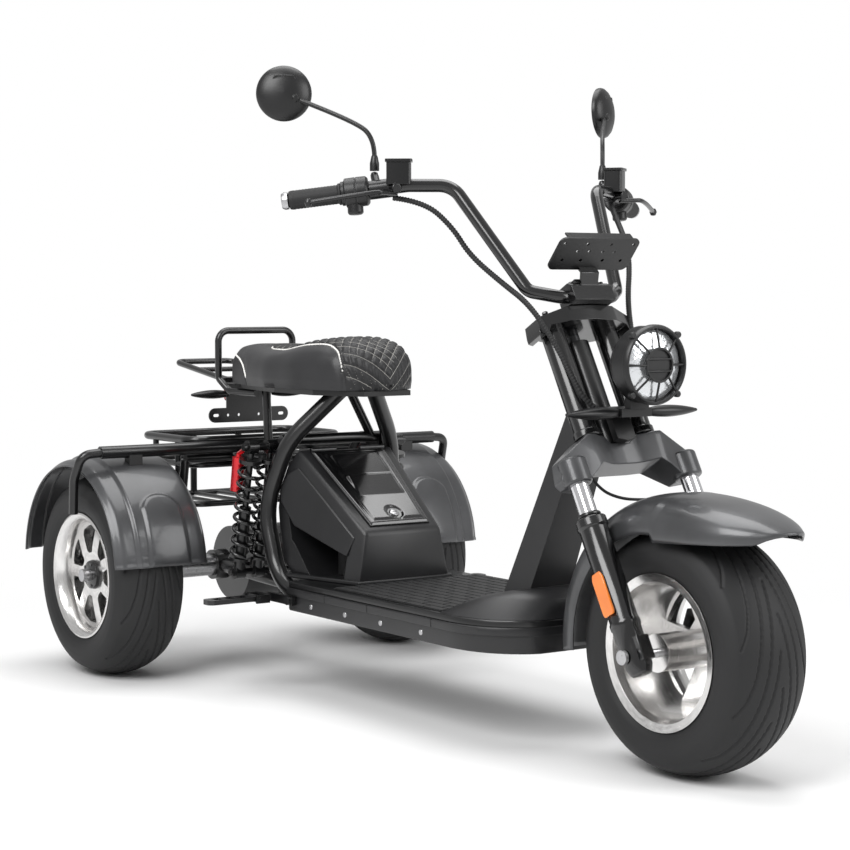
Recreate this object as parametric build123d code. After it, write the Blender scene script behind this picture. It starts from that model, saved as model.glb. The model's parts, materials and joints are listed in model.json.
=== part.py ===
from build123d import *
from math import acos, atan2, cos, degrees, radians, sin
import os

# Three-wheeled electric scooter: one wide front wheel in a raked fork, two rear wheels under
# mudguards, a low deck, a saddle on two bent tube hoops, and a battery box under the saddle.
# Millimetres. +X forward, +Y to the rider's left, +Z up. X = 0 is mid-length, the tyres stand on Z = 0.

# Driving dimensions of the whole vehicle
WHEELBASE = 1503.0
NOSE_REACH = 250.0          # front mudguard tip ahead of the front axle
TAIL_REACH = 270.0          # rear mudguard lip behind the rear axle
REAR_TRACK = 767.0
TYRE_R = 225.0
RIM_R = 140.0
FRONT_TYRE_W = 178.0
REAR_TYRE_W = 165.0
RAKE = 29.0                 # steering axis from the vertical, degrees
STEER_OFFSET = 34.0         # steering axis behind the plane of the fork legs

# Clearances
SEAT_GAP = 0.3              # a piece resting in or on another of its own body
RUN_GAP = 0.05              # radial, shaft in its hub
PANEL_GAP = 2.0             # between neighbouring cover panels

FRONT_X = (WHEELBASE + TAIL_REACH - NOSE_REACH) / 2
REAR_X = FRONT_X - WHEELBASE
HALF_TRACK = REAR_TRACK / 2

# Fork
FORK_Y = 132.0              # each leg from the centre plane
STANCHION_R = 17.0
SLIDER_R = 26.0
SLIDER_BOTTOM = -34.0       # along the fork from the axle
SLIDER_TOP = 262.0
YOKE_LOW = 327.0
UPPER_TUBE_R = 23.0
TOP_CLAMP_S = 636.0
TOP_CLAMP_T = 26.0          # thickness along the fork
FRONT_AXLE_R = 8.0
STEM_R = 15.0
HEAD_TUBE_R = 26.0
HEAD_LOW = 412.0
HEAD_HIGH = 624.0

# Deck and frame
DECK_Z = 247.0
DECK_T = 12.0
MAT_T = 4.0
DECK_TOP = DECK_Z - MAT_T   # top of the bare plate
DECK_HALF = 196.0
DECK_NOSE = 310.0           # deck's rounded front end behind the front axle
RAIL_R = 18.0
CROSS_R = 12.0
SKIRT_T = 4.0
SKIRT_LOW = 180.0

# Battery box
BOX_WALL = 4.0
LID_T = 8.0

# Seat
SEAT_LOW = 645.0
SEAT_HIGH = 763.0

# Small helpers


def at_rear(dx, y, z):
    """Point given from the rear axle."""
    return Vector(REAR_X + dx, y, z)


def at_front(dx, y, z):
    """Point given from the front axle."""
    return Vector(FRONT_X + dx, y, z)


U = Vector(-sin(radians(RAKE)), 0, cos(radians(RAKE)))
N = Vector(cos(radians(RAKE)), 0, sin(radians(RAKE)))
FORK = Plane(origin=(FRONT_X, 0, TYRE_R), x_dir=N, z_dir=U)


def fork(t, y, s):
    """Point in the fork's frame: t forward of the legs, s up the fork from the axle."""
    return Vector(FRONT_X, 0, TYRE_R) + N * t + Vector(0, y, 0) + U * s


def rod(p, q, r):
    """Round bar from p to q."""
    p, q = Vector(*p), Vector(*q)
    d = q - p
    return extrude(Plane(origin=p, z_dir=d.normalized()) * Circle(r), amount=d.length)


def bent(points, r, bends):
    """Round bar along straight runs with a bend at each inner point."""
    path = FilletPolyline(*[Vector(*p) for p in points], radius=bends)
    return sweep(Plane(origin=path @ 0, z_dir=path % 0) * Circle(r), path=path)


def block(x0, x1, y0, y1, z0, z1):
    """Box by its limits."""
    return Pos((x0 + x1) / 2, (y0 + y1) / 2, (z0 + z1) / 2) * Box(x1 - x0, y1 - y0, z1 - z0)


def other_side(shape):
    """Mirror image across the centre plane."""
    return mirror(shape, about=Plane.XZ)


def both(shape):
    """The shape and its mirror image as separate solids."""
    return Compound(children=[*shape.solids(), *other_side(shape).solids()])


def side_plate(points, y0, y1):
    """Outline in the XZ plane, extruded between two Y values."""
    face = make_face(Polyline(*[(p[0], 0, p[1]) for p in points], close=True))
    return extrude(Pos(0, y0, 0) * face, amount=y1 - y0, dir=(0, 1, 0))


def turned(profile, x, y, z=TYRE_R):
    """Closed (radius, width) outline turned about a wheel axis along Y at x, y, z."""
    face = make_face(Polyline(*[(r, w, 0) for r, w in profile], close=True))
    return Pos(x, y, z) * revolve(face, Axis.Y)


def cyl_y(x, y0, y1, z, r):
    """Round bar along Y."""
    return rod((x, y0, z), (x, y1, z), r)


# Wheels


def tyre(width, x, y):
    """Low wide tyre: sidewalls and crown are arcs, open at the rim."""
    w = width / 2
    seat_r, bead_y, lip_r = RIM_R - 8, w - 17, RIM_R + 0.5
    wide_r, shoulder_r = TYRE_R - 45, TYRE_R - 22
    lines = Line((seat_r, -bead_y, 0), (seat_r, bead_y, 0)) + Line((seat_r, bead_y, 0), (lip_r, bead_y, 0))
    lines += Line((lip_r, bead_y, 0), (lip_r, w - 9, 0))
    lines += ThreePointArc((lip_r, w - 9, 0), (wide_r, w, 0), (shoulder_r, w - 12, 0))
    lines += ThreePointArc((shoulder_r, w - 12, 0), (TYRE_R, 0, 0), (shoulder_r, -w + 12, 0))
    lines += ThreePointArc((shoulder_r, -w + 12, 0), (wide_r, -w, 0), (lip_r, -w + 9, 0))
    lines += Line((lip_r, -w + 9, 0), (lip_r, -bead_y, 0)) + Line((lip_r, -bead_y, 0), (seat_r, -bead_y, 0))
    return Pos(x, y, TYRE_R) * revolve(make_face(lines), Axis.Y)


SPOKES = 5


def rim(width, x, y, face_side, hub_half, bore_r, dish):
    """Alloy rim: flanged barrel, a spoked face near one side, and a bored hub."""
    w = width / 2
    seat = RIM_R - 8 - SEAT_GAP
    barrel = turned([(RIM_R, -w + 6), (RIM_R, -w + 12), (seat, -w + 15), (seat, w - 15), (RIM_R, w - 12),
                     (RIM_R, w - 6), (seat - 7, w - 9), (seat - 12, w - 24), (seat - 12, -w + 24),
                     (seat - 7, -w + 9)], 0, 0, 0)
    face_y = face_side * dish
    hub_r = 34.0
    disc = turned([(0, face_y - 6), (seat - 9, face_y - 6), (seat - 9, face_y + 6), (0, face_y + 6)], 0, 0, 0)
    window = extrude(Plane.XZ * make_face(Polyline((56, -13), (112, -42), (116, 0), (112, 42), (56, 13),
                                                   close=True)), amount=200, both=True)
    for i in range(SPOKES):
        disc -= Rot(0, i * 360 / SPOKES, 0) * window
    hub = cyl_y(0, -hub_half, hub_half, 0, hub_r)
    wheel = barrel + disc + hub - cyl_y(0, -300, 300, 0, bore_r)
    return Pos(x, y, TYRE_R) * wheel


parts = {}
FRONT_HUB_HALF = 86.0
REAR_HUB_HALF = 62.0
REAR_STUB_R = 14.0
parts["front_tyre"] = tyre(FRONT_TYRE_W, FRONT_X, 0)
parts["front_rim"] = rim(FRONT_TYRE_W, FRONT_X, 0, 1, FRONT_HUB_HALF, FRONT_AXLE_R + RUN_GAP, 46.0)
for side, name in ((-1, "right"), (1, "left")):
    y = side * HALF_TRACK
    parts["rear_tyre_" + name] = tyre(REAR_TYRE_W, REAR_X, y)
    parts["rear_rim_" + name] = rim(REAR_TYRE_W, REAR_X, y, side, REAR_HUB_HALF, REAR_STUB_R + RUN_GAP, 40.0)

# Front axle, brake and fork
DISC_R = 90.0
DISC_Y = FRONT_HUB_HALF + 4.0
disc = cyl_y(FRONT_X, FRONT_HUB_HALF, DISC_Y, TYRE_R, DISC_R) - cyl_y(FRONT_X, 0, 200, TYRE_R, 24)
for i in range(12):
    a = radians(i * 30)
    disc -= cyl_y(FRONT_X + 66 * cos(a), 0, 200, TYRE_R + 66 * sin(a), 7)
parts["front_brake_disc"] = disc
AXLE_END = FORK_Y + SLIDER_R + 8
parts["front_axle"] = (cyl_y(FRONT_X, -AXLE_END, AXLE_END, TYRE_R, FRONT_AXLE_R)
                       + cyl_y(FRONT_X, -AXLE_END, -AXLE_END + 7, TYRE_R, 13)
                       + cyl_y(FRONT_X, AXLE_END - 7, AXLE_END, TYRE_R, 13))

slider = rod(fork(0, FORK_Y, SLIDER_BOTTOM), fork(0, FORK_Y, SLIDER_TOP), SLIDER_R)
slider += rod(fork(0, FORK_Y, SLIDER_TOP - 20), fork(0, FORK_Y, SLIDER_TOP), SLIDER_R + 3)
slider -= rod(fork(0, FORK_Y, 40), fork(0, FORK_Y, SLIDER_TOP + 1), STANCHION_R + SEAT_GAP)
slider -= cyl_y(FRONT_X, 0, 300, TYRE_R, FRONT_AXLE_R + SEAT_GAP)
STANCHION_TOP = TOP_CLAMP_S + TOP_CLAMP_T + 4
parts["fork_stanchions"] = both(rod(fork(0, FORK_Y, 40 + SEAT_GAP), fork(0, FORK_Y, STANCHION_TOP), STANCHION_R))

YOKE_BACK = -STEER_OFFSET - 26
YOKE_EDGE = 166.0
yoke = FORK * extrude(Plane.YZ * make_face(Polyline(
    (-YOKE_EDGE, YOKE_LOW), (-YOKE_EDGE, YOKE_LOW + 54), (-72, YOKE_LOW + 92), (0, YOKE_LOW + 74),
    (72, YOKE_LOW + 92), (YOKE_EDGE, YOKE_LOW + 54), (YOKE_EDGE, YOKE_LOW), (66, YOKE_LOW + 37),
    (-66, YOKE_LOW + 37), close=True)), amount=84)
yoke = Location(N * (YOKE_BACK)) * yoke
for y in (-FORK_Y, FORK_Y):
    yoke -= rod(fork(0, y, 250), fork(0, y, 500), STANCHION_R + SEAT_GAP)
yoke += rod(fork(-STEER_OFFSET, 0, YOKE_LOW + 60), fork(-STEER_OFFSET, 0, TOP_CLAMP_S + TOP_CLAMP_T + 6), STEM_R)
parts["lower_yoke"] = yoke

clamp = FORK * Pos(-STEER_OFFSET / 2 + 4, 0, TOP_CLAMP_S + TOP_CLAMP_T / 2) * Box(
    STEER_OFFSET + 52, 2 * (FORK_Y + 27), TOP_CLAMP_T)
clamp = fillet(clamp.edges().filter_by(lambda e: e.length < TOP_CLAMP_T + 0.1), 18)
for y in (-FORK_Y, FORK_Y):
    clamp -= rod(fork(0, y, 600), fork(0, y, 700), STANCHION_R + SEAT_GAP)
clamp -= rod(fork(-STEER_OFFSET, 0, 600), fork(-STEER_OFFSET, 0, 700), STEM_R + SEAT_GAP)
upper = rod(fork(0, FORK_Y, YOKE_LOW + 78), fork(0, FORK_Y, TOP_CLAMP_S + 5), UPPER_TUBE_R)
upper -= rod(fork(0, FORK_Y, 300), fork(0, FORK_Y, 700), STANCHION_R + SEAT_GAP)
parts["top_clamp"] = clamp + upper + other_side(upper)

# Front mudguard
GUARD_IN = 262.0
GUARD_HALF = 104.0
GUARD_T = 4.0
CROWN = 16.0                # rise of a mudguard across its width


def arch_section(inner, half, thick, drop):
    """Arched wall section in the radius and width plane, crown outward."""
    crown = CROWN
    outer = ThreePointArc((inner - drop, -half, 0), (inner + crown, 0, 0), (inner - drop, half, 0))
    inside = ThreePointArc((inner - drop, half - thick, 0), (inner + crown - thick, 0, 0),
                           (inner - drop, -half + thick, 0))
    edges = outer + inside + Line(outer @ 1, inside @ 0) + Line(inside @ 1, outer @ 0)
    return make_face(edges)


def arch_core(inner, half, drop, gap):
    """All that lies under an arch's outer surface, with a gap, for trimming what stands on the arch."""
    crown = CROWN
    top = ThreePointArc((inner - drop + gap, -half - gap, 0), (inner + crown + gap, 0, 0),
                        (inner - drop + gap, half + gap, 0))
    low = Polyline((inner - drop + gap, half + gap, 0), (100, half + gap, 0), (100, -half - gap, 0),
                   (inner - drop + gap, -half - gap, 0))
    return revolve(make_face(top + low), Axis.Y)


guard = revolve(arch_section(GUARD_IN, GUARD_HALF, GUARD_T, 22), Axis.Y, 195 - 80)
guard = Pos(FRONT_X, 0, TYRE_R) * Rot(0, -195, 0) * guard
NOSE_ARC = 700.0
NOSE_FROM = 80.0
nose_shift = NOSE_ARC - GUARD_IN
nose_to = degrees(acos((NOSE_REACH + nose_shift * cos(radians(NOSE_FROM))) / (NOSE_ARC + CROWN)))
nose = Pos(GUARD_IN - NOSE_ARC, 0, 0) * revolve(
    Pos(NOSE_ARC - GUARD_IN, 0, 0) * arch_section(GUARD_IN, GUARD_HALF, GUARD_T, 22), Axis.Y, NOSE_FROM - nose_to)
nose = Pos(FRONT_X, 0, TYRE_R) * Rot(0, -NOSE_FROM, 0) * nose
parts["front_fender"] = guard + nose
STAY_S = 246.0
stay = rod(fork(0, FORK_Y - SLIDER_R + 2, STAY_S), fork(0, GUARD_HALF - 40, STAY_S), 8)
stay -= Pos(FRONT_X, 0, TYRE_R) * arch_core(GUARD_IN, GUARD_HALF, 22, SEAT_GAP)
parts["fork_sliders"] = both(slider + stay)

# Headlight, its guard and the front signals
LAMP_X = FRONT_X - 112.0
LAMP_Z = 725.0
LAMP_R = 70.0


def facing_forward(profile, x, y, z):
    """Closed (radius, forward) outline turned about an axis along X."""
    face = make_face(Polyline(*[(f, r, 0) for r, f in profile], close=True))
    return Pos(x, y, z) * revolve(face, Axis.X)


lamp = facing_forward([(0, -66), (28, -64), (56, -52), (LAMP_R, -30), (LAMP_R, 0), (LAMP_R - 6, 0),
                       (LAMP_R - 6, -12), (0, -12)], LAMP_X, 0, LAMP_Z)
parts["headlight_lens"] = facing_forward([(0, -12 + SEAT_GAP), (LAMP_R - 6 - SEAT_GAP, -12 + SEAT_GAP),
                                          (LAMP_R - 6 - SEAT_GAP, -2), (40, 6), (0, 8)], LAMP_X, 0, LAMP_Z)
grille = facing_forward([(LAMP_R - 5, SEAT_GAP), (LAMP_R + 3, SEAT_GAP), (LAMP_R + 3, 10), (LAMP_R - 5, 14)],
                        LAMP_X, 0, LAMP_Z)
grille += facing_forward([(22, 17), (29, 17), (29, 23), (22, 23)], LAMP_X, 0, LAMP_Z)
for i in range(8):
    a = radians(i * 45 + 22.5)
    grille += rod((LAMP_X + 20, 24 * cos(a), LAMP_Z + 24 * sin(a)),
                  (LAMP_X + 9, (LAMP_R - 1) * cos(a), LAMP_Z + (LAMP_R - 1) * sin(a)), 3)
for z in (-14, 14):
    grille += rod((LAMP_X + 20, -18, LAMP_Z + z), (LAMP_X + 20, 18, LAMP_Z + z), 2.5)
parts["headlight_guard"] = grille
SIGNAL_Z = 637.0
SIGNAL_X = FRONT_X - 166.0
SIGNAL_IN = 36.0
bracket = block(SIGNAL_X - 56, SIGNAL_X + 12, -SIGNAL_IN + SEAT_GAP, SIGNAL_IN - SEAT_GAP, SIGNAL_Z - 8, SIGNAL_Z + 8)
bracket += FORK * Pos(12, 0, YOKE_LOW + 92) * Box(14, 44, 80) - Location(U * SEAT_GAP) * yoke
bracket += block(LAMP_X - 50, LAMP_X - 34, -22, 22, SIGNAL_Z + 7, LAMP_Z - 30)
parts["headlight_body"] = (lamp + bracket).solids().sort_by(SortBy.VOLUME)[-1]
signal = Pos(SIGNAL_X, 0, SIGNAL_Z) * loft([
    Plane.XZ.offset(-SIGNAL_IN) * Circle(7), Plane.XZ.offset(-72) * Ellipse(15, 11), Plane.XZ.offset(-118) * Ellipse(14, 9),
    Plane.XZ.offset(-154) * Ellipse(5, 3)], ruled=False)
parts["front_signals"] = both(signal)

# Handlebar: one bent tube rising from the riser clamp and sweeping back
BAR_R = 12.5
RISER_Z = 846.0
BAR = [(-300, 0, RISER_Z), (-300, 60, RISER_Z), (-340, 107, 857), (-486, 175, 1056), (-530, 245, 1056),
       (-668, 425, 1028)]
left_path = [at_front(*p) for p in BAR]
right_path = [Vector(p.X, -p.Y, p.Z) for p in reversed(left_path[1:])]
bar = bent(right_path + left_path[1:], BAR_R, [45, 45, 28, 28, 28, 28, 45, 45][:8])
parts["handlebar"] = bar

RISER_HALF = 46.0
riser = block(FRONT_X - 322, FRONT_X - 278, -RISER_HALF, RISER_HALF, RISER_Z - 50, RISER_Z + 24)
riser -= cyl_y(FRONT_X - 300, -200, 200, RISER_Z, BAR_R + SEAT_GAP)
riser -= FORK * Pos(0, 0, TOP_CLAMP_S + TOP_CLAMP_T + SEAT_GAP - 100) * Box(400, 400, 200)

# Grips, switch housings, levers and mirrors stand on the bar's straight ends
BAR_IN, BAR_OUT = at_front(*BAR[-2]), at_front(*BAR[-1])
ALONG = (BAR_OUT - BAR_IN).normalized()
BAR_LEN = (BAR_OUT - BAR_IN).length


def on_bar(d):
    """Point on the bar's end run, measured in from its tip."""
    return BAR_OUT - ALONG * d


def sleeve(d0, d1, r, gap=SEAT_GAP):
    """Sleeve round the bar's end run between two distances from its tip."""
    return rod(on_bar(d0), on_bar(d1), r) - rod(on_bar(d0 - 50), on_bar(d1 + 50), BAR_R + gap)


GRIP_LEN = 100.0
grip = rod(on_bar(-14), on_bar(GRIP_LEN), 17) - rod(on_bar(-SEAT_GAP), on_bar(300), BAR_R + SEAT_GAP)
parts["grips"] = both(grip)
HOUSING_END = 158.0
parts["switch_housings"] = both(sleeve(GRIP_LEN + 1, HOUSING_END, 23))
FLAT_TURN = degrees(atan2(ALONG.Y, ALONG.X))
MIRROR_FOOT = on_bar(HOUSING_END + 12) + Vector(-26, -10, 27)
LEVER_PIVOT = on_bar(194) + Vector(32, 6, -2)
perch = sleeve(HOUSING_END + 2, HOUSING_END + 20, 19) + rod(on_bar(HOUSING_END + 12), MIRROR_FOOT, 8)
perch += sleeve(HOUSING_END + 16, 206, 17) + rod(on_bar(194), LEVER_PIVOT, 9)
perch += Pos(*(on_bar(194) + Vector(4, 0, 26))) * Rot(0, 0, FLAT_TURN) * Box(40, 30, 20)
perch += Pos(*MIRROR_FOOT) * Sphere(8)
perch -= rod(on_bar(0), on_bar(300), BAR_R + SEAT_GAP)
tip = at_front(-598, 425, 1022)
lever = bent([LEVER_PIVOT + Vector(-10, -4, -10), LEVER_PIVOT + Vector(-2, 40, -8), tip], 4.5, 14)
lever += Pos(*tip) * Sphere(8)
parts["brake_controls"] = both(perch + lever)
MIRROR_C = (at_front(-733, 395, 1235))
MIRROR_R = 54.0
foot_top = MIRROR_FOOT + Vector(0, 0, 8 + SEAT_GAP)
stalk = bent([foot_top, foot_top + Vector(0, 0, 50), MIRROR_C + Vector(24, -6, -8)], 4.5, 20)
stalk += rod(foot_top, foot_top + Vector(0, 0, 22), 8)
BACK = Vector(0.8, -0.55, 0.05).normalized()
head = Plane(origin=MIRROR_C, z_dir=BACK) * (
    loft([Circle(MIRROR_R), Pos(0, 0, 10) * Circle(MIRROR_R * 0.93), Pos(0, 0, 20) * Circle(MIRROR_R * 0.55)]))
parts["mirrors"] = both(head + stalk)
parts["mirror_glasses"] = both(Plane(origin=MIRROR_C - BACK * (2 + SEAT_GAP), z_dir=BACK) * extrude(
    Circle(MIRROR_R - 4), amount=2))

# Display plate ahead of the riser
DISPLAY_TILT = 30.0
display_at = at_front(-279, 0, 924)
display = Pos(*display_at) * Rot(0, DISPLAY_TILT, 0) * (Box(18, 190, 58))
parts["display"] = display
riser += block(FRONT_X - 312, FRONT_X - 300, -24, 24, RISER_Z + 20, RISER_Z + 62)
riser -= Pos(*display_at) * Rot(0, DISPLAY_TILT, 0) * Box(18 + 2 * SEAT_GAP, 300, 58 + 2 * SEAT_GAP)
parts["bar_riser"] = riser.solids().sort_by(SortBy.VOLUME)[-1]

# Head tube and neck
head_tube = rod(fork(-STEER_OFFSET, 0, HEAD_LOW), fork(-STEER_OFFSET, 0, HEAD_HIGH), HEAD_TUBE_R)
head_bore = rod(fork(-STEER_OFFSET, 0, 0), fork(-STEER_OFFSET, 0, 900), STEM_R + RUN_GAP)
parts["head_tube"] = head_tube - head_bore
NECK_HALF = 35.0
neck_outline = [(FRONT_X - 308, 640), (FRONT_X - 480, 280), (FRONT_X - 486, DECK_TOP + SEAT_GAP),
                (FRONT_X - 424, DECK_TOP + SEAT_GAP), (FRONT_X - 420, 280), (FRONT_X - 262, 610),
                (FRONT_X - 262, 640)]
neck = side_plate(neck_outline, -NECK_HALF, NECK_HALF)
neck -= rod(fork(-STEER_OFFSET, 0, 300), fork(-STEER_OFFSET, 0, 900), HEAD_TUBE_R + SEAT_GAP)
parts["neck_cover"] = neck.solids().sort_by(SortBy.VOLUME)[-1]

# Deck, its mat and the skirt under its edge
DECK_PLAN = [(REAR_X + 456, DECK_HALF), (FRONT_X - 480, DECK_HALF), (FRONT_X - 370, DECK_HALF - 44),
             (FRONT_X - DECK_NOSE, 62)]


def deck_face(inset):
    """Plan of the deck, set in from its edge."""
    half = [(x if i == 0 else x - inset, y - inset) for i, (x, y) in enumerate(DECK_PLAN)]
    return make_face(Polyline(*half, *[(x, -y) for x, y in reversed(half)], close=True))


deck = extrude(Pos(0, 0, DECK_TOP - DECK_T) * deck_face(0), amount=DECK_T)
parts["deck"] = deck
mat = block(REAR_X + 612, FRONT_X - 490, -DECK_HALF + 8, DECK_HALF - 8, DECK_TOP + SEAT_GAP, DECK_Z - 2)
RIB_STEP = 14.0
ribs = int((DECK_HALF - 20) / RIB_STEP)
for i in range(-ribs, ribs + 1):
    mat += block(REAR_X + 616, FRONT_X - 494, i * RIB_STEP - 4, i * RIB_STEP + 4, DECK_Z - 2, DECK_Z)
parts["deck_mat"] = mat
skirt = extrude(Pos(0, 0, SKIRT_LOW) * deck_face(0), amount=DECK_TOP - DECK_T - SEAT_GAP - SKIRT_LOW)
skirt -= extrude(Pos(0, 0, 0) * deck_face(SKIRT_T), amount=400)
PEG_BOLT_X = REAR_X + 473.0
for y0, y1 in ((0, 300), (-300, 0)):
    skirt -= cyl_y(PEG_BOLT_X, y0, y1, 204, 9 + SEAT_GAP)
parts["deck_skirt"] = skirt

# Frame tubes: a hoop each side carries the saddle and runs on as a rail under the deck
RAIL_Z = DECK_TOP - DECK_T - SEAT_GAP - RAIL_R
HOOP_END = 640.0
hoop = bent([at_rear(424, 41, SEAT_LOW), at_rear(352, 135, 530), at_rear(312, 168, 385),
             at_rear(377, 168, RAIL_Z), at_rear(HOOP_END, 168, RAIL_Z)], RAIL_R, [200, 170, 112])
CROSS_X, CROSS_Z = REAR_X + 328, 532.0
cross = cyl_y(CROSS_X, -136, 136, CROSS_Z, CROSS_R)
PIVOT_X, PIVOT_Z = REAR_X + 372, 214.0
low_cross = cyl_y(PIVOT_X + 8, -168, 168, RAIL_Z, 14)
brace = rod(at_rear(376, 8, SEAT_LOW), (CROSS_X, 100, CROSS_Z), 10)
SHOCK_TOP = (294.0, 518.0)
SHOCK_LOW = (234.0, 238.0)
SHOCK_YS = (190.0, 142.0)
SHOCK_PIN = 8.0
shock_bar = cyl_y(REAR_X + SHOCK_TOP[0], 118, 212, SHOCK_TOP[1], SHOCK_PIN)
shock_bar += block(REAR_X + SHOCK_TOP[0] - 6, REAR_X + 340, 112, 120, SHOCK_TOP[1] - 12, SHOCK_TOP[1] + 12)
hoops = hoop + other_side(hoop) + cross + low_cross + brace + other_side(brace) + shock_bar + other_side(shock_bar)
PAN_T = 11.0
PAN_LOW = SEAT_LOW - SEAT_GAP - PAN_T
parts["seat_hoops"] = hoops - block(REAR_X, REAR_X + 700, -200, 200, PAN_LOW - SEAT_GAP, 900)
rail = bent([at_rear(HOOP_END + SEAT_GAP, 168, RAIL_Z), at_front(-520, 168, RAIL_Z), at_front(-400, 96, RAIL_Z),
             at_front(-330, 40, RAIL_Z)], RAIL_R, [120, 100])
rail_cross = cyl_y(FRONT_X - 470, -150, 150, RAIL_Z, 14) + cyl_y(FRONT_X - 338, -44, 44, RAIL_Z, RAIL_R)
floor_rails = rail + other_side(rail) + rail_cross

# Battery box with a sloping lid and a plain battery pack inside
BOX_TOP = (REAR_X + 371, 515)
BOX_FRONT_TOP = (REAR_X + 601, 353)
BOX_LOW = DECK_TOP + SEAT_GAP
BOX_SIDE = [BOX_TOP, BOX_FRONT_TOP, (REAR_X + 606, BOX_LOW), (REAR_X + 452, BOX_LOW), (REAR_X + 372, 320),
            (REAR_X + 350, 395)]


def box_side_face(inset):
    """Sloping plane of the box's left side, set in by a wall."""
    p = [at_rear(348, 126 - inset, 518), at_rear(601, 96 - inset, 353), at_rear(606, 114 - inset, 258)]
    n = (p[1] - p[0]).cross(p[2] - p[0]).normalized()
    if n.Y < 0:
        n = n * -1
    return Plane(origin=p[0], z_dir=n)


def box_form(outline, inset):
    """Box between two sloping sides over a side outline."""
    form = side_plate(outline, -200, 200)
    cutter = extrude(box_side_face(inset) * Rectangle(2000, 2000), amount=400)
    return form - cutter - other_side(cutter)


outer = box_form(BOX_SIDE, 0)
inner_side = [(REAR_X + 378, 504), (REAR_X + 596, 350), (REAR_X + 600, BOX_LOW + BOX_WALL),
              (REAR_X + 456, BOX_LOW + BOX_WALL), (REAR_X + 378, 322), (REAR_X + 357, 395)]
SLOPE_DIR = Vector(BOX_FRONT_TOP[0] - BOX_TOP[0], 0, BOX_FRONT_TOP[1] - BOX_TOP[1])
SLOPE = Plane(origin=(BOX_TOP[0], 0, BOX_TOP[1]), x_dir=SLOPE_DIR.normalized(),
              z_dir=SLOPE_DIR.cross(Vector(0, -1, 0)).normalized() * -1)
if SLOPE.z_dir.Z < 0:
    SLOPE = Plane(origin=SLOPE.origin, x_dir=SLOPE.x_dir, z_dir=SLOPE.z_dir * -1)
LID_FROM, LID_TO = 12.0, SLOPE_DIR.length - 16
lid_rear, lid_front = 96.0, 76.0
mouth = SLOPE * extrude(make_face(Polyline((LID_FROM + 16, -lid_rear + 18, 0), (LID_TO - 14, -lid_front + 14, 0),
                                           (LID_TO - 14, lid_front - 14, 0), (LID_FROM + 16, lid_rear - 18, 0),
                                           close=True)), amount=30, both=True)
box = outer - box_form(inner_side, BOX_WALL) - mouth
lid = extrude(make_face(Polyline((LID_FROM, -lid_rear, 0), (LID_TO, -lid_front, 0), (LID_TO, lid_front, 0),
                                 (LID_FROM, lid_rear, 0), close=True)), amount=LID_T)
HINGE_R = 5.0
lid = Pos(0, 0, SEAT_GAP) * lid
knuckle = Pos(LID_FROM, 0, HINGE_R + SEAT_GAP) * Rot(90, 0, 0) * Cylinder(HINGE_R, 2 * lid_rear)
lid -= Pos(LID_FROM, 0, HINGE_R + SEAT_GAP) * Rot(90, 0, 0) * Cylinder(HINGE_R + 3, 60)
lid += Pos(LID_TO - 26, 0, LID_T + SEAT_GAP + 1) * Cylinder(9, 4)
parts["battery_lid"] = SLOPE * (lid + (knuckle - Box(400, 60, 60)))
LID_AXIS = SLOPE.from_local_coords(Vector(LID_FROM, 0, HINGE_R + SEAT_GAP))
box += SLOPE * (Pos(LID_FROM, 0, HINGE_R + SEAT_GAP) * Rot(90, 0, 0) * Cylinder(2.5, 58)
                + Pos(LID_FROM - 1, 0, (HINGE_R + SEAT_GAP) / 2 - 1) * Box(5, 50, HINGE_R + SEAT_GAP + 2))
parts["battery_box"] = box
PACK = block(REAR_X + 462, REAR_X + 588, -75, 75, BOX_LOW + BOX_WALL + SEAT_GAP, 345)
parts["battery_pack"] = PACK

# Saddle on a base pan
seat_side = make_face(
    Line((REAR_X + 22, 0, SEAT_LOW), (REAR_X + 590, 0, SEAT_LOW))
    + ThreePointArc((REAR_X + 590, 0, SEAT_LOW), (REAR_X + 580, 0, 712), (REAR_X + 520, 0, 752))
    + ThreePointArc((REAR_X + 520, 0, 752), (REAR_X + 440, 0, SEAT_HIGH), (REAR_X + 350, 0, 757))
    + ThreePointArc((REAR_X + 350, 0, 757), (REAR_X + 200, 0, 742), (REAR_X + 40, 0, 735))
    + ThreePointArc((REAR_X + 40, 0, 735), (REAR_X + 14, 0, 700), (REAR_X + 22, 0, SEAT_LOW)))
seat_plan = make_face(
    ThreePointArc((REAR_X + 540, -100, 0), (REAR_X + 596, 0, 0), (REAR_X + 540, 100, 0))
    + ThreePointArc((REAR_X + 540, 100, 0), (REAR_X + 400, 148, 0), (REAR_X + 260, 146, 0))
    + Line((REAR_X + 260, 146, 0), (REAR_X + 50, 108, 0))
    + ThreePointArc((REAR_X + 50, 108, 0), (REAR_X + 8, 0, 0), (REAR_X + 50, -108, 0))
    + Line((REAR_X + 50, -108, 0), (REAR_X + 260, -146, 0))
    + ThreePointArc((REAR_X + 260, -146, 0), (REAR_X + 400, -148, 0), (REAR_X + 540, -100, 0)))
seat = extrude(seat_side, amount=200, both=True) & extrude(Pos(0, 0, 600) * seat_plan, amount=300)
parts["seat"] = seat
pan = extrude(Pos(0, 0, SEAT_LOW - SEAT_GAP - PAN_T) * make_face(Polyline(
    (REAR_X + 60, -80), (REAR_X + 260, -112), (REAR_X + 420, -112), (REAR_X + 540, -60), (REAR_X + 540, 60),
    (REAR_X + 420, 112), (REAR_X + 260, 112), (REAR_X + 60, 80), close=True)), amount=PAN_T)
parts["seat_pan"] = pan

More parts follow.
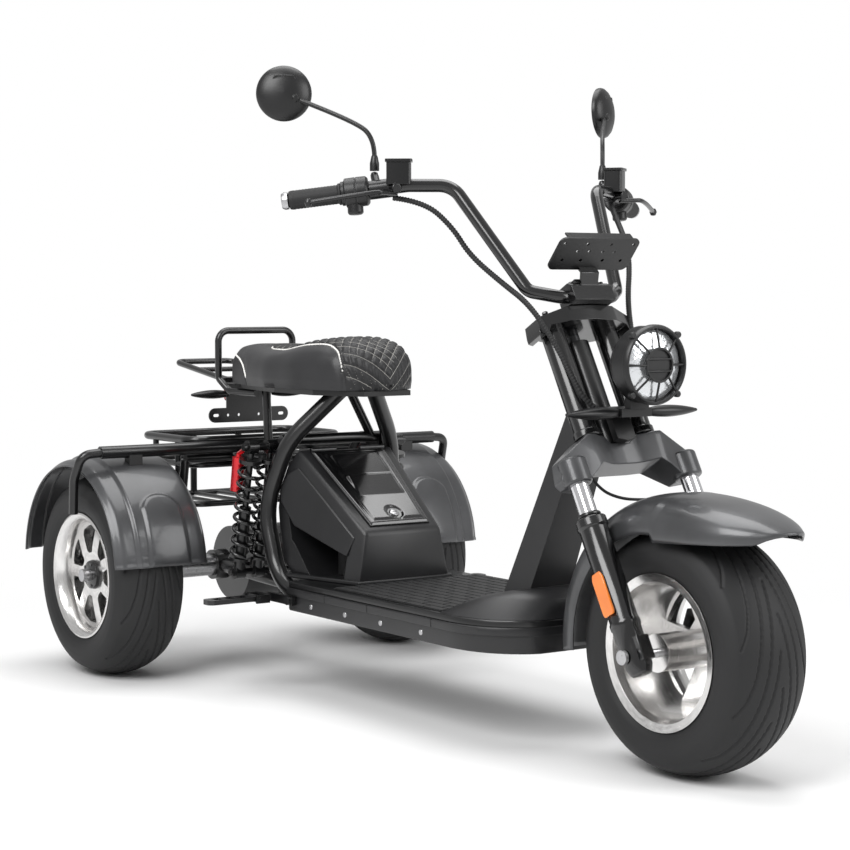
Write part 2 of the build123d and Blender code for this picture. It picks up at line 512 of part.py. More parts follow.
# Rear subframe, posts under the saddle's tail, guard rail and basket
GUARD_X, GUARD_Z = REAR_X + 75.0, 503.0
GUARD_R = 14.0
SUB_R = 10.0
SUB_Z = GUARD_Z - GUARD_R - SEAT_GAP - SUB_R
SUB_Y = 100.0
sub = bent([(CROSS_X - 4, SUB_Y, CROSS_Z), (CROSS_X - 48, SUB_Y, CROSS_Z), (CROSS_X - 92, SUB_Y, SUB_Z),
            at_rear(34, SUB_Y, SUB_Z)], SUB_R, [24, 24])
sub -= cyl_y(CROSS_X, -200, 200, CROSS_Z, CROSS_R + SEAT_GAP)
seat_post = rod(at_rear(135, 50, SUB_Z), at_rear(120, 50, PAN_LOW + 10), SUB_R)
seat_post -= block(REAR_X, REAR_X + 300, 0, 100, PAN_LOW - SEAT_GAP, 900)
post_cross = cyl_y(REAR_X + 135, -SUB_Y, SUB_Y, SUB_Z, SUB_R)
AXLE_POST_Y = 226.0
HOUSING_R = 25.0
axle_post = rod(at_rear(60, AXLE_POST_Y, GUARD_Z - GUARD_R - 12), at_rear(14, AXLE_POST_Y, TYRE_R + 10), SUB_R)
axle_post += rod(at_rear(60, SUB_Y, SUB_Z), at_rear(60, AXLE_POST_Y, SUB_Z), SUB_R)
axle_post -= cyl_y(REAR_X, -400, 400, TYRE_R, HOUSING_R + SEAT_GAP)
subframe = sub + post_cross + seat_post + axle_post
subframe += other_side(sub + seat_post + axle_post)
parts["rear_subframe"] = subframe - cyl_y(GUARD_X, -600, 600, GUARD_Z, GUARD_R + SEAT_GAP)
END_R = 10.0
END_Y = 495.0
guard_end = bent([(GUARD_X, 440, GUARD_Z), (GUARD_X - 6, END_Y - 8, GUARD_Z - 4), (GUARD_X - 30, END_Y, GUARD_Z - 60),
                  (GUARD_X - 34, END_Y, GUARD_Z - 135)], END_R, [26, 40])
FENDER_R = 252.0
FENDER_X, FENDER_Z = REAR_X - (TAIL_REACH - FENDER_R), 243.0
FENDER_IN, FENDER_OUT = 248.0, 480.0
FENDER_T = 3.0
fender_mid, fender_half = (FENDER_IN + FENDER_OUT) / 2, (FENDER_OUT - FENDER_IN) / 2
foot = block(GUARD_X - 12, GUARD_X + 12, fender_mid - 16, fender_mid + 16, GUARD_Z - 40, GUARD_Z)
foot -= Pos(FENDER_X, fender_mid, FENDER_Z) * arch_core(FENDER_R - CROWN, fender_half, 10, SEAT_GAP)
foot = foot.solids().sort_by(SortBy.VOLUME)[-1]
parts["guard_rail"] = (cyl_y(GUARD_X, -446, 446, GUARD_Z, GUARD_R) + guard_end + other_side(guard_end)
                       + foot + other_side(foot))

BASKET_R = 9.0
BASKET_Y = 200.0
BASKET_X = (REAR_X - 198, REAR_X + 48)
RAILS = (518.0, SUB_Z - SUB_R - SEAT_GAP - 7, 372.0)
CORNER = 40.0


def rail_loop(z, r):
    """Closed rail round the basket at one height."""
    (x0, x1), y = BASKET_X, BASKET_Y
    loop = Pos((x0 + x1) / 2, 0, z) * RectangleRounded(x1 - x0, 2 * y, CORNER)
    path = loop.faces()[0].outer_wire()
    return sweep(Plane(origin=path @ 0, z_dir=path % 0) * Circle(r), path=path)


basket = rail_loop(RAILS[0], BASKET_R) + rail_loop(RAILS[1], 7) + rail_loop(RAILS[2], 7)
for x in BASKET_X:
    for y in (-62, 62):
        basket += rod((x, y, RAILS[2]), (x, y, RAILS[0]), 8)
for x in (BASKET_X[0] + 70, BASKET_X[1] - 70):
    for y in (-BASKET_Y, BASKET_Y):
        basket += rod((x, y, RAILS[2]), (x, y, RAILS[0]), 7)
for i in range(5):
    y = (i - 2) * 62
    basket += rod((BASKET_X[0], y, RAILS[2]), (BASKET_X[1], y, RAILS[2]), 5)
parts["basket"] = basket

# Rear mudguards
half = fender_half
fender = revolve(arch_section(FENDER_R - CROWN, half, FENDER_T, 10), Axis.Y, 172)
wall = make_face(Polyline((FENDER_R - 84, -half), (FENDER_R - 25, -half), (FENDER_R - 25, -half + FENDER_T),
                          (FENDER_R - 84, -half + FENDER_T), close=True))
fender += revolve(wall, Axis.Y, 172)
parts["rear_fenders"] = both(Pos(FENDER_X, fender_mid, FENDER_Z) * Rot(0, -176, 0) * fender)

# Rear axle with its drive motor, swingarm and shock absorbers
MOTOR_R, MOTOR_HALF = 86.0, 74.0
HOUSING_END_Y = HALF_TRACK - REAR_HUB_HALF - 6
axle = cyl_y(REAR_X, -HOUSING_END_Y, HOUSING_END_Y, TYRE_R, HOUSING_R)
axle += cyl_y(REAR_X, -HALF_TRACK - REAR_HUB_HALF - 12, HALF_TRACK + REAR_HUB_HALF + 12, TYRE_R, REAR_STUB_R)
parts["rear_axle"] = axle
motor = cyl_y(REAR_X, -MOTOR_HALF, MOTOR_HALF, TYRE_R, MOTOR_R) - cyl_y(REAR_X, -400, 400, TYRE_R, HOUSING_R + SEAT_GAP)
parts["drive_motor"] = motor
ARM_Y = 108.0
arm = rod((PIVOT_X + 8, ARM_Y, RAIL_Z), at_rear(0, ARM_Y, TYRE_R), 15)
arm += cyl_y(PIVOT_X + 8, ARM_Y - 20, ARM_Y + 20, RAIL_Z, 22) + cyl_y(REAR_X, ARM_Y - 18, ARM_Y + 18, TYRE_R, 34)
low_bar = cyl_y(REAR_X + SHOCK_LOW[0], -212, 212, SHOCK_LOW[1], SHOCK_PIN)
swingarm = arm + other_side(arm) + low_bar
swingarm += block(REAR_X + SHOCK_LOW[0] - 14, REAR_X + SHOCK_LOW[0] + 14, -ARM_Y - 8, -ARM_Y + 8, 215, SHOCK_LOW[1])
swingarm += block(REAR_X + SHOCK_LOW[0] - 14, REAR_X + SHOCK_LOW[0] + 14, ARM_Y - 8, ARM_Y + 8, 215, SHOCK_LOW[1])
swingarm -= cyl_y(PIVOT_X + 8, -300, 300, RAIL_Z, 14 + SEAT_GAP)
swingarm -= cyl_y(REAR_X, -300, 300, TYRE_R, HOUSING_R + SEAT_GAP)
parts["swingarm"] = swingarm
COIL_R, WIRE_R, COIL_TURNS = 22.0, 4.0, 8


def shock(y):
    """Damper with an eye at each end, a spring seat near each eye and a stack of coils between."""
    top = Vector(REAR_X + SHOCK_TOP[0], y, SHOCK_TOP[1])
    low = Vector(REAR_X + SHOCK_LOW[0], y, SHOCK_LOW[1])
    d = (top - low).normalized()
    damper = rod(low, low + d * 150, 13) + rod(low + d * 149, top, 7)
    damper += rod(low + d * 30, low + d * 36, 25) + rod(top - d * 36, top - d * 28, 25)
    for p in (top, low):
        damper += cyl_y(p.X, y - 12, y + 12, p.Z, 15)
    for p in (top, low):
        damper -= cyl_y(p.X, y - 30, y + 30, p.Z, SHOCK_PIN + SEAT_GAP)
    return damper, low + d * (36 + SEAT_GAP), top - d * (36 + SEAT_GAP)


dampers, springs = [], []
for y in SHOCK_YS:
    damper, low, top = shock(y)
    dampers += [damper, other_side(damper)]
    run = top - low
    pitch = (run.length - 2 * WIRE_R) / COIL_TURNS
    helix = Helix(pitch=pitch, height=run.length - 2 * WIRE_R, radius=COIL_R)
    coil = sweep(Plane(origin=helix @ 0, z_dir=helix % 0) * Circle(WIRE_R), path=helix, is_frenet=True)
    coil = Plane(origin=low, z_dir=run.normalized()) * Pos(0, 0, WIRE_R) * coil
    springs += [coil, other_side(coil)]
parts["shock_dampers"] = Compound(children=[x for c in dampers for x in c.solids()])
parts["shock_springs"] = Compound(children=[x for c in springs for x in c.solids()])
can_at = at_rear(SHOCK_TOP[0] - 56, SHOCK_YS[0], 492)
can = rod(can_at, can_at - Vector(12, 0, 74), 14)
can += rod(can_at + Vector(0, 0, 8), at_rear(SHOCK_TOP[0] - 16, SHOCK_YS[0], SHOCK_TOP[1] - 1.2), 5)
can += rod(can_at, can_at + Vector(0, 0, 8), 6)
parts["shock_reservoirs"] = both(can)

# Grab loop, small rack, number plate bracket and rear lamps
LOOP_R = 8.0
LOOP_X, LOOP_Y, LOOP_Z = REAR_X - 8, 100.0, 765.0
LOOP_LOW = PAN_LOW - SEAT_GAP - LOOP_R
loop = [(REAR_X + 120, 74, LOOP_LOW), (REAR_X + 20, 86, LOOP_LOW), (LOOP_X, LOOP_Y, LOOP_LOW + 30), (LOOP_X, LOOP_Y, LOOP_Z)]
grab = bent(loop + [(x, -y, z) for x, y, z in reversed(loop)], LOOP_R, [30, 16, 26, 26, 16, 30])
BAR_Z = 652.0
rack_front = LOOP_X
rack = bent([(rack_front, 78, BAR_Z), (REAR_X - 60, 78, BAR_Z + 6), (REAR_X - 254, 78, 686), (REAR_X - 254, -78, 686),
             (REAR_X - 60, -78, BAR_Z + 6), (rack_front, -78, BAR_Z)], 7, [40, 24, 24, 40])
rack += cyl_y(REAR_X - 150, -78, 78, 670, 6)
parts["grab_rack"] = grab + cyl_y(LOOP_X, -LOOP_Y, LOOP_Y, BAR_Z, 7) + rack
PLATE_X = REAR_X - 42.0
PLATE_Z = 567.0
bracket = block(PLATE_X - 2, PLATE_X + 2, -60, 60, 580, 645 - SEAT_GAP)
bracket += block(PLATE_X - 2, LOOP_X + 6, -60, 60, 641 - SEAT_GAP, 645 - SEAT_GAP)
SLOT_Y, SLOT_LEN, SLOT_R, HOLE_R = 88.0, 16.0, 3.5, 3.5
bar = extrude(Plane.YZ * Pos(0, PLATE_Z, 0) * SlotOverall(214, 34), amount=4)
bracket += Pos(PLATE_X - 2, 0, 0) * bar
for y in (-SLOT_Y, SLOT_Y):
    bracket -= Pos(PLATE_X - 10, y, PLATE_Z) * extrude(Plane.YZ * SlotOverall(SLOT_LEN, 2 * SLOT_R), amount=20)
for y in (-56, -27, 27, 56):
    bracket -= Pos(PLATE_X - 10, y, PLATE_Z) * extrude(Plane.YZ * Circle(HOLE_R), amount=20)
parts["plate_bracket"] = bracket
REAR_SIGNAL_Z = 617.0
rear_signal = loft([Plane.XZ.offset(-60 - SEAT_GAP) * Circle(6), Plane.XZ.offset(-92) * Ellipse(14, 10),
                    Plane.XZ.offset(-130) * Ellipse(13, 8), Plane.XZ.offset(-156) * Ellipse(5, 3)])
parts["rear_signals"] = both(Pos(PLATE_X + 8, 0, REAR_SIGNAL_Z) * rear_signal)
parts["tail_lamp"] = fillet(block(PLATE_X - 26, PLATE_X - 2 - SEAT_GAP, -52, 52, 598, 634).edges().filter_by(Axis.X), 10)

# Folding foot pegs on brackets outside the rails
PEG_X = (REAR_X + 376, REAR_X + 414)
PEG_PIVOT_Y, PEG_Z = 246.0, 204.0
PEG_LEN, PEG_T = 118.0, 10.0
PEG_PIN = 4.0
arm_in, arm_out = DECK_HALF + PANEL_GAP, DECK_HALF + 12
peg_arm = block(PEG_X[0] + 12, PEG_X[1] - 12, arm_in, PEG_PIVOT_Y - 12, PEG_Z - 8, PEG_Z + 8)
fork_x = (PEG_X[0] - 6 - PANEL_GAP, PEG_X[1] + PANEL_GAP)
for x0 in fork_x:
    peg_arm += block(x0, x0 + 6, PEG_PIVOT_Y - 20, PEG_PIVOT_Y + 8, PEG_Z - 9, PEG_Z + 9)
peg_arm += block(fork_x[0], fork_x[1] + 6, PEG_PIVOT_Y - 24, PEG_PIVOT_Y - 14, PEG_Z - 9, PEG_Z + 9)
peg_arm += rod((PEG_X[0] - 10, PEG_PIVOT_Y, PEG_Z), (PEG_X[1] + 10, PEG_PIVOT_Y, PEG_Z), PEG_PIN)
peg_arm += block(PEG_X[0] + 12, PEG_BOLT_X + 14, arm_in, arm_out, PEG_Z - 9, PEG_Z + 9)
peg_arm += cyl_y(PEG_BOLT_X, 150, arm_out + 5, PEG_Z, 9)
peg_arm -= rod((REAR_X + 300, 168, RAIL_Z), (REAR_X + 640, 168, RAIL_Z), RAIL_R + SEAT_GAP)
peg_arm = peg_arm.solids().sort_by(SortBy.VOLUME)[-1]
parts["floor_rails"] = Compound(children=[*floor_rails.solids(), *both(peg_arm).solids()])
peg = block(PEG_X[0], PEG_X[1], PEG_PIVOT_Y + 4, PEG_PIVOT_Y + PEG_LEN, PEG_Z - PEG_T / 2, PEG_Z + PEG_T / 2)
peg = fillet(peg.edges().filter_by(Axis.Z).group_by(Axis.Y)[-1], 14)
peg += rod((PEG_X[0], PEG_PIVOT_Y, PEG_Z), (PEG_X[1], PEG_PIVOT_Y, PEG_Z), 8)
for i in range(3):
    peg -= block(PEG_X[0] + 8, PEG_X[1] - 8, PEG_PIVOT_Y + 22 + i * 30, PEG_PIVOT_Y + 40 + i * 30, 100, 300)
peg -= rod((PEG_X[0] - 10, PEG_PIVOT_Y, PEG_Z), (PEG_X[1] + 10, PEG_PIVOT_Y, PEG_Z), PEG_PIN + RUN_GAP)
parts["foot_peg_left"] = peg
parts["foot_peg_right"] = other_side(peg)

out_dir = "parts"
os.makedirs(out_dir, exist_ok=True)
for name, shape in parts.items():
    export_step(shape, out_dir + "/" + name + ".step")
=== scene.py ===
"""Looks of the three-wheeled electric scooter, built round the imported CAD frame.

CAD frame: +X forward, +Y to the rider's left, +Z up, tyres on Z = 0. Camera, lamps and tyres are
given in metres; every other form is given in millimetres and scaled by Shape.make.
"""

import json
from cmath import phase, rect
from math import cos, pi, radians, sin, sqrt

import bmesh
import bpy
import numpy as np
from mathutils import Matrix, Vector


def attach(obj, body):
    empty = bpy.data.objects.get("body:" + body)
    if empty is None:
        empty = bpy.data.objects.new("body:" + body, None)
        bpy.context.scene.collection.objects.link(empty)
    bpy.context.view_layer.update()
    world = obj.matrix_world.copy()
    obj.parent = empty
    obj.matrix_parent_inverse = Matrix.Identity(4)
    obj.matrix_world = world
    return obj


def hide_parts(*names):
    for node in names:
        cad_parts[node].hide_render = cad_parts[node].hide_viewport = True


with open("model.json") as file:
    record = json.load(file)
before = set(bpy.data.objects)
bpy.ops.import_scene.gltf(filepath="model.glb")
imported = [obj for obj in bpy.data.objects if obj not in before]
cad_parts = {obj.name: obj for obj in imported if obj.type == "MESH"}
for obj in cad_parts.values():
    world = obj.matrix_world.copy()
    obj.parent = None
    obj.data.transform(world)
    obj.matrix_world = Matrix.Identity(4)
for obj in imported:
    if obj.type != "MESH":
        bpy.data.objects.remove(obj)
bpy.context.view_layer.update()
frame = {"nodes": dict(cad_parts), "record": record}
nodes = frame["nodes"]

# Camera, as the photograph was taken
CAMERA_AT = Vector((3.5454, -2.5414, 0.8614))
CAMERA_TO = Vector((-0.0624, 0.0, 0.5792))
FOCAL_MM, SENSOR_MM = 90.1, 36.0

# Sizes taken from the CAD source, in millimetres
MM = 0.001
FRONT_X, REAR_X, HUB_Z, HALF_TRACK = 761.5, -741.5, 225.0, 383.5
RAKE = radians(29)
BAR_X, BAR_Z = -300, 846           # middle of the handlebar: ahead of the front axle, above the floor
DECK_TOP = 243.3                   # underside of what stands on the deck


def aimed(name, data, at, to):
    """Camera or lamp at one point, looking at another."""
    obj = bpy.data.objects.new(name, data)
    obj.location = at
    obj.rotation_euler = (Vector(to) - Vector(at)).to_track_quat("-Z", "Y").to_euler()
    bpy.context.scene.collection.objects.link(obj)
    return obj


def set_camera():
    """The photograph's camera: place, aim and focal length."""
    data = bpy.data.cameras.new("photo_camera")
    data.lens, data.sensor_width = FOCAL_MM, SENSOR_MM
    bpy.context.scene.camera = aimed("photo_camera", data, CAMERA_AT, CAMERA_TO)


# Studio

FLOOR_HALF = 30                    # metres
FLOOR_FADE = (0.9, 2.2)            # metres from the middle between which the floor turns plain white


def area_light(name, at, to, size, power):
    """Soft square lamp aimed at a point."""
    data = bpy.data.lights.new(name, "AREA")
    data.shape, data.size, data.energy = "SQUARE", size, power
    aimed(name, data, at, to)


def link(output, socket):
    """Joins two nodes of one tree."""
    socket.id_data.links.new(output, socket)


def add_node(tree, kind, values=None):
    """New node with fixed values on its sockets."""
    node = tree.nodes.new("ShaderNode" + kind)
    for name, value in (values or {}).items():
        node.inputs[name].default_value = value
    return node


def plain_white(tree, kind, strength):
    """White background or emission of one strength."""
    return add_node(tree, kind, {"Color": (1, 1, 1, 1), "Strength": strength}).outputs[0]


def math_node(tree, operation, a, b):
    """Sum, product or the like of two outputs."""
    node = add_node(tree, "Math")
    node.operation = operation
    for socket, source in zip(node.inputs, (a, b)):
        link(source, socket)
    return node.outputs[0]


def mix_shaders(tree, factor, a, b):
    """Shader a where the factor is 0, b where it is 1."""
    mix = add_node(tree, "MixShader")
    for socket, source in zip(mix.inputs, (factor, a, b)):
        link(source, socket)
    return mix.outputs[0]


def studio():
    """White floor, white surroundings for camera and gloss, and three soft lamps."""
    world = bpy.data.worlds.new("studio")
    world.use_nodes = True
    bpy.context.scene.world = world
    tree = world.node_tree
    tree.nodes.clear()
    path = add_node(tree, "LightPath").outputs
    soft, gloss, seen = (plain_white(tree, "Background", level) for level in (0.34, 0.55, 1.0))
    glossy = math_node(tree, "MAXIMUM", path["Is Glossy Ray"], path["Is Transmission Ray"])
    around = mix_shaders(tree, glossy, soft, gloss)
    shown = mix_shaders(tree, path["Is Camera Ray"], around, seen)
    link(shown, add_node(tree, "OutputWorld").inputs["Surface"])

    area_light("key", (1.2, -3.2, 3.4), (0, 0, 0.4), 2.6, 150)
    area_light("fill", (3.4, 1.8, 2.2), (0.2, 0, 0.5), 2.4, 70)
    area_light("top", (-0.6, 0.4, 4.2), (0, 0, 0.4), 3.2, 110)

    corners = [(x * FLOOR_HALF, y * FLOOR_HALF, 0) for x, y in ((-1, -1), (1, -1), (1, 1), (-1, 1))]
    floor = mesh_object("studio_floor", corners, [(0, 1, 2, 3)])
    set_material(floor, floor_white())
    bpy.context.scene.view_settings.view_transform = "Standard"


def floor_white():
    """White floor that keeps the shadow near the object and turns plain white further out."""
    mat = new_material("studio_white", {"Base Color": (0.9, 0.9, 0.9, 1), "Roughness": 0.95, "Specular IOR Level": 0.0})
    tree = mat.node_tree
    glow = plain_white(tree, "Emission", 1.0)
    path = add_node(tree, "LightPath").outputs
    seen = math_node(tree, "MAXIMUM", path["Is Camera Ray"], path["Is Glossy Ray"])
    # far from the object the floor turns into the white surroundings
    place = add_node(tree, "TexCoord")
    away = add_node(tree, "VectorMath")
    away.operation = "LENGTH"
    link(place.outputs["Object"], away.inputs[0])
    fade = add_node(tree, "MapRange", {"From Min": FLOOR_FADE[0], "From Max": FLOOR_FADE[1]})
    fade.interpolation_type = "SMOOTHSTEP"
    link(away.outputs["Value"], fade.inputs["Value"])
    whiten = math_node(tree, "MULTIPLY", seen, fade.outputs[0])
    mixed = mix_shaders(tree, whiten, tree.nodes["Principled BSDF"].outputs[0], glow)
    link(mixed, tree.nodes["Material Output"].inputs["Surface"])
    return mat


# Meshes


def mesh_object(name, verts, faces, smooth=False):
    """Mesh object from lists of points and faces."""
    data = bpy.data.meshes.new(name)
    data.from_pydata([tuple(v) for v in verts], [], [tuple(f) for f in faces])
    data.update()
    if smooth:
        data.shade_smooth()
    obj = bpy.data.objects.new(name, data)
    bpy.context.scene.collection.objects.link(obj)
    return obj


def grid_faces(rows, columns, wrap_rows=False, wrap_columns=False):
    """Quads of a grid of points stored row by row."""
    faces = []
    for i in range(rows if wrap_rows else rows - 1):
        for j in range(columns if wrap_columns else columns - 1):
            i1, j1 = (i + 1) % rows, (j + 1) % columns
            faces.append((i * columns + j, i1 * columns + j, i1 * columns + j1, i * columns + j1))
    return faces


def arc_through(p, q, r, steps):
    """Points on the circle through three points, from p past q to r."""
    p, q, r = (complex(*point) for point in (p, q, r))
    w = (r - p) / (q - p)
    centre = p + (q - p) * (w - abs(w) ** 2) / (2j * w.imag)
    a0, a1, a2 = (phase(point - centre) for point in (p, q, r))
    span = (a2 - a0) % (2 * pi)
    if (a1 - a0) % (2 * pi) > span:
        span -= 2 * pi
    found = [centre + rect(abs(p - centre), a0 + span * k / steps) for k in range(steps + 1)]
    return [(point.real, point.imag) for point in found]


# Materials


def new_material(name, values):
    """Material with fixed values on its own shader."""
    mat = bpy.data.materials.new(name)
    mat.use_nodes = True
    for socket, value in values.items():
        shader_input(mat, socket).default_value = value
    return mat


def shader_input(mat, socket):
    """Socket of the material's shader."""
    return mat.node_tree.nodes["Principled BSDF"].inputs[socket]


def material(name, colour, roughness, metallic=0.0, coat=0.0):
    """Principled material; detail is added by the functions below."""
    return new_material(name, {"Base Color": (*colour, 1), "Roughness": roughness, "Metallic": metallic,
                               "Coat Weight": coat, "Coat Roughness": 0.08})


def texture(mat, kind, scale, detail=4.0, stretch=(1, 1, 1)):
    """Texture node on the object's own coordinates."""
    tree = mat.node_tree
    place = tree.nodes.get("place") or add_node(tree, "TexCoord")
    place.name = "place"
    mapping = add_node(tree, "Mapping", {"Scale": stretch})
    link(place.outputs["Object"], mapping.inputs["Vector"])
    node = add_node(tree, kind, {"Scale": scale})
    if "Detail" in node.inputs:
        node.inputs["Detail"].default_value = detail
    link(mapping.outputs[0], node.inputs["Vector"])
    return node


def vary(mat, socket, node_output, low, high):
    """Drives a shader input between two values by a texture."""
    ramp = add_node(mat.node_tree, "MapRange", {"To Min": low, "To Max": high})
    link(node_output, ramp.inputs["Value"])
    link(ramp.outputs[0], shader_input(mat, socket))


def vary_colour(mat, node_output, *colours):
    """Mixes a dark and a light base colour by a texture."""
    ramp = add_node(mat.node_tree, "ValToRGB")
    for element, position, colour in zip(ramp.color_ramp.elements, (0.35, 0.65), colours):
        element.position, element.color = position, (*colour, 1)
    link(node_output, ramp.inputs[0])
    link(ramp.outputs[0], shader_input(mat, "Base Color"))


def bump(mat, node_output, strength, distance, edge=0.0):
    """Surface relief from a texture; edge rounds sharp corners in shading, in metres."""
    tree = mat.node_tree
    node = add_node(tree, "Bump", {"Strength": strength, "Distance": distance})
    link(node_output, node.inputs["Height"])
    if edge:
        bevel = add_node(tree, "Bevel", {"Radius": edge})
        bevel.samples = 4
        link(bevel.outputs[0], node.inputs["Normal"])
    link(node.outputs[0], shader_input(mat, "Normal"))


def finish_material(name, colour, roughness, grain, relief, metallic=0.0, coat=0.0):
    """Painted, moulded or cast finish: fine grain relief, uneven gloss and a slight shift of colour."""
    spread, tint, edge = 0.06, 1.25, 0.001
    mat = material(name, colour, roughness, metallic, coat)
    fine = texture(mat, "TexNoise", grain)
    wide = texture(mat, "TexNoise", 9.0, 3.0)
    vary(mat, "Roughness", wide.outputs["Fac"], roughness - spread, roughness + spread)
    vary_colour(mat, wide.outputs["Fac"], [c / tint for c in colour], [min(1, c * tint) for c in colour])
    bump(mat, fine.outputs["Fac"], 0.35, relief, edge)
    return mat


def black(level):
    """Neutral black with a little more blue."""
    return level, level, round(1.08 * level, 8)


FINISHES = {
    # slot: (colour, roughness, grain scale, relief in metres, metallic, coat)
    "fork_black": (black(0.005), 0.2, 900, 0.00004, 0.0, 0.5),
    "frame_black": (black(0.005), 0.3, 1100, 0.00005, 0.0, 0.3),
    "panel_grey": ((0.062, 0.063, 0.066), 0.33, 1400, 0.00004, 0.35, 0.35),
    "box_grey": (black(0.011), 0.38, 1600, 0.00010),
    "lid_gloss": (black(0.004), 0.16, 500, 0.00003, 0.0, 0.8),
    "mat_rubber": (black(0.006), 0.6, 1500, 0.00015),
    "plastic_black": (black(0.005), 0.36, 1500, 0.00008),
    "lever_metal": (black(0.007), 0.3, 900, 0.00004, 0.3, 0.3),
    "grip_rubber": (black(0.006), 0.62, 1300, 0.00015),
    "damper_black": (black(0.006), 0.28, 900, 0.00004, 0.2, 0.3),
    "spring_steel": (black(0.006), 0.22, 800, 0.00003, 0.0, 0.6),
    "reservoir_red": ((0.62, 0.012, 0.02), 0.25, 900, 0.00003, 0.6, 0.5),
    "red_lens": ((0.30, 0.006, 0.006), 0.12, 260, 0.0002, 0.0, 0.8),
    "amber_lens": ((0.85, 0.20, 0.008), 0.16, 260, 0.0003, 0.0, 0.8),
    "tyre_rubber": (black(0.007), 0.62, 1200, 0.00012),
    "seat_leather": (black(0.016), 0.4, 900, 0.0003),
    "quilted_black": ((0.008, 0.008, 0.009), 0.5, 1400, 0.0002),
    "piping_white": ((0.80, 0.79, 0.76), 0.5, 900, 0.0001),
    "thread_grey": ((0.32, 0.31, 0.29), 0.6, 2000, 0.0001),
}
METALS = {
    # slot: (colour, roughness, stretch of the brushing)
    "alloy": ((0.80, 0.79, 0.78), 0.22, (1, 14, 1)),
    "brake_steel": ((0.52, 0.52, 0.53), 0.30, (3, 3, 3)),
    "chrome_tube": ((0.86, 0.86, 0.88), 0.08, (6, 6, 1)),
    "mirror_glass": ((0.86, 0.88, 0.90), 0.02, (1, 1, 1)),
}


def metal_finish(name, colour, roughness, brushed):
    """Bare metal: drawn or turned lines in the gloss and a faint relief."""
    mat = material(name, colour, roughness, 1.0)
    lines = texture(mat, "TexNoise", 60.0, 6.0, brushed)
    vary(mat, "Roughness", lines.outputs["Fac"], roughness * 0.6, roughness * 1.5)
    vary_colour(mat, lines.outputs["Fac"], [c * 0.86 for c in colour], colour)
    bump(mat, lines.outputs["Fac"], 0.2, 0.00005, 0.0008)
    return mat


def all_materials():
    """One material for each slot of the record, and those that only this script uses."""
    made = {}
    for slot, values in FINISHES.items():
        made[slot] = finish_material("look_" + slot, *values)
    for slot, values in METALS.items():
        made[slot] = metal_finish("look_" + slot, *values)
    lens = material("look_lamp_glass", (0.82, 0.84, 0.86), 0.14, 0.75)
    facets = texture(lens, "TexVoronoi", 60.0)
    bump(lens, facets.outputs["Distance"], 0.5, 0.0012)
    made["lamp_glass"] = lens
    return made


def set_material(obj, mat):
    """The object's only material."""
    obj.data.materials.clear()
    obj.data.materials.append(mat)


def stand_for(obj, body, slot, *replaced):
    """A new piece rides on its body, takes a slot that the record has, and stands for CAD nodes."""
    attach(obj, body)
    if replaced:
        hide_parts(*replaced)
    set_material(obj, looks[slot])


# Tyres: a fine ring of points whose crown is cut by slanting grooves

RIM_R, TYRE_R = 0.140, 0.225
GROOVES = 11                       # grooves on each half of the crown
GROOVE_W, GROOVE_D = 0.0042, 0.0036
SHOULDER_DROP, SHOULDER_IN = 0.022, 0.012   # where crown and wall meet, in from the largest radius and width
RING, CROWN_STEPS, WALL_STEPS = 520, 72, 16


def groove_distance(around, across, half):
    """Distance on the crown from each point to the nearest slanting groove."""
    girth = 2 * pi * TYRE_R
    pitch = girth / GROOVES
    side = np.abs(across)
    stagger = np.where(across > 0, 0.0, pitch / 2)
    # corners of one groove: along the girth in pitches, across from the middle in halves of the width
    route = [(-0.25, 0.97), (0.0, 0.80), (0.35, 0.66), (1.3, 0.40), (2.7, 0.05)]
    best = np.full(around.shape, 1.0)
    for turn in range(-4, GROOVES + 1):
        base = turn * pitch + stagger
        for (u0, v0), (u1, v1) in zip(route, route[1:]):
            ax, ay = base + u0 * pitch, v0 * half
            dx, dy = (u1 - u0) * pitch, (v1 - v0) * half
            k = np.clip(((around - ax) * dx + (side - ay) * dy) / (dx * dx + dy * dy), 0, 1)
            best = np.minimum(best, np.hypot(around - ax - k * dx, side - ay - k * dy))
    return best


def tyre_profile(width):
    """Closed (radius, across) outline, bead to bead."""
    w = width / 2
    bead, lip = w - 0.017, RIM_R + 0.0005
    shoulder, wide = TYRE_R - SHOULDER_DROP, TYRE_R - 0.045
    right = arc_through((lip, -w + 0.009), (wide, -w), (shoulder, -w + SHOULDER_IN), WALL_STEPS)
    crown = arc_through((shoulder, -w + SHOULDER_IN), (TYRE_R, 0), (shoulder, w - SHOULDER_IN), CROWN_STEPS)
    left = [(r, -y) for r, y in reversed(right)]
    return [(RIM_R - 0.008, -bead), (lip, -bead)] + right + crown[1:-1] + left + [(lip, bead), (RIM_R - 0.008, bead)]


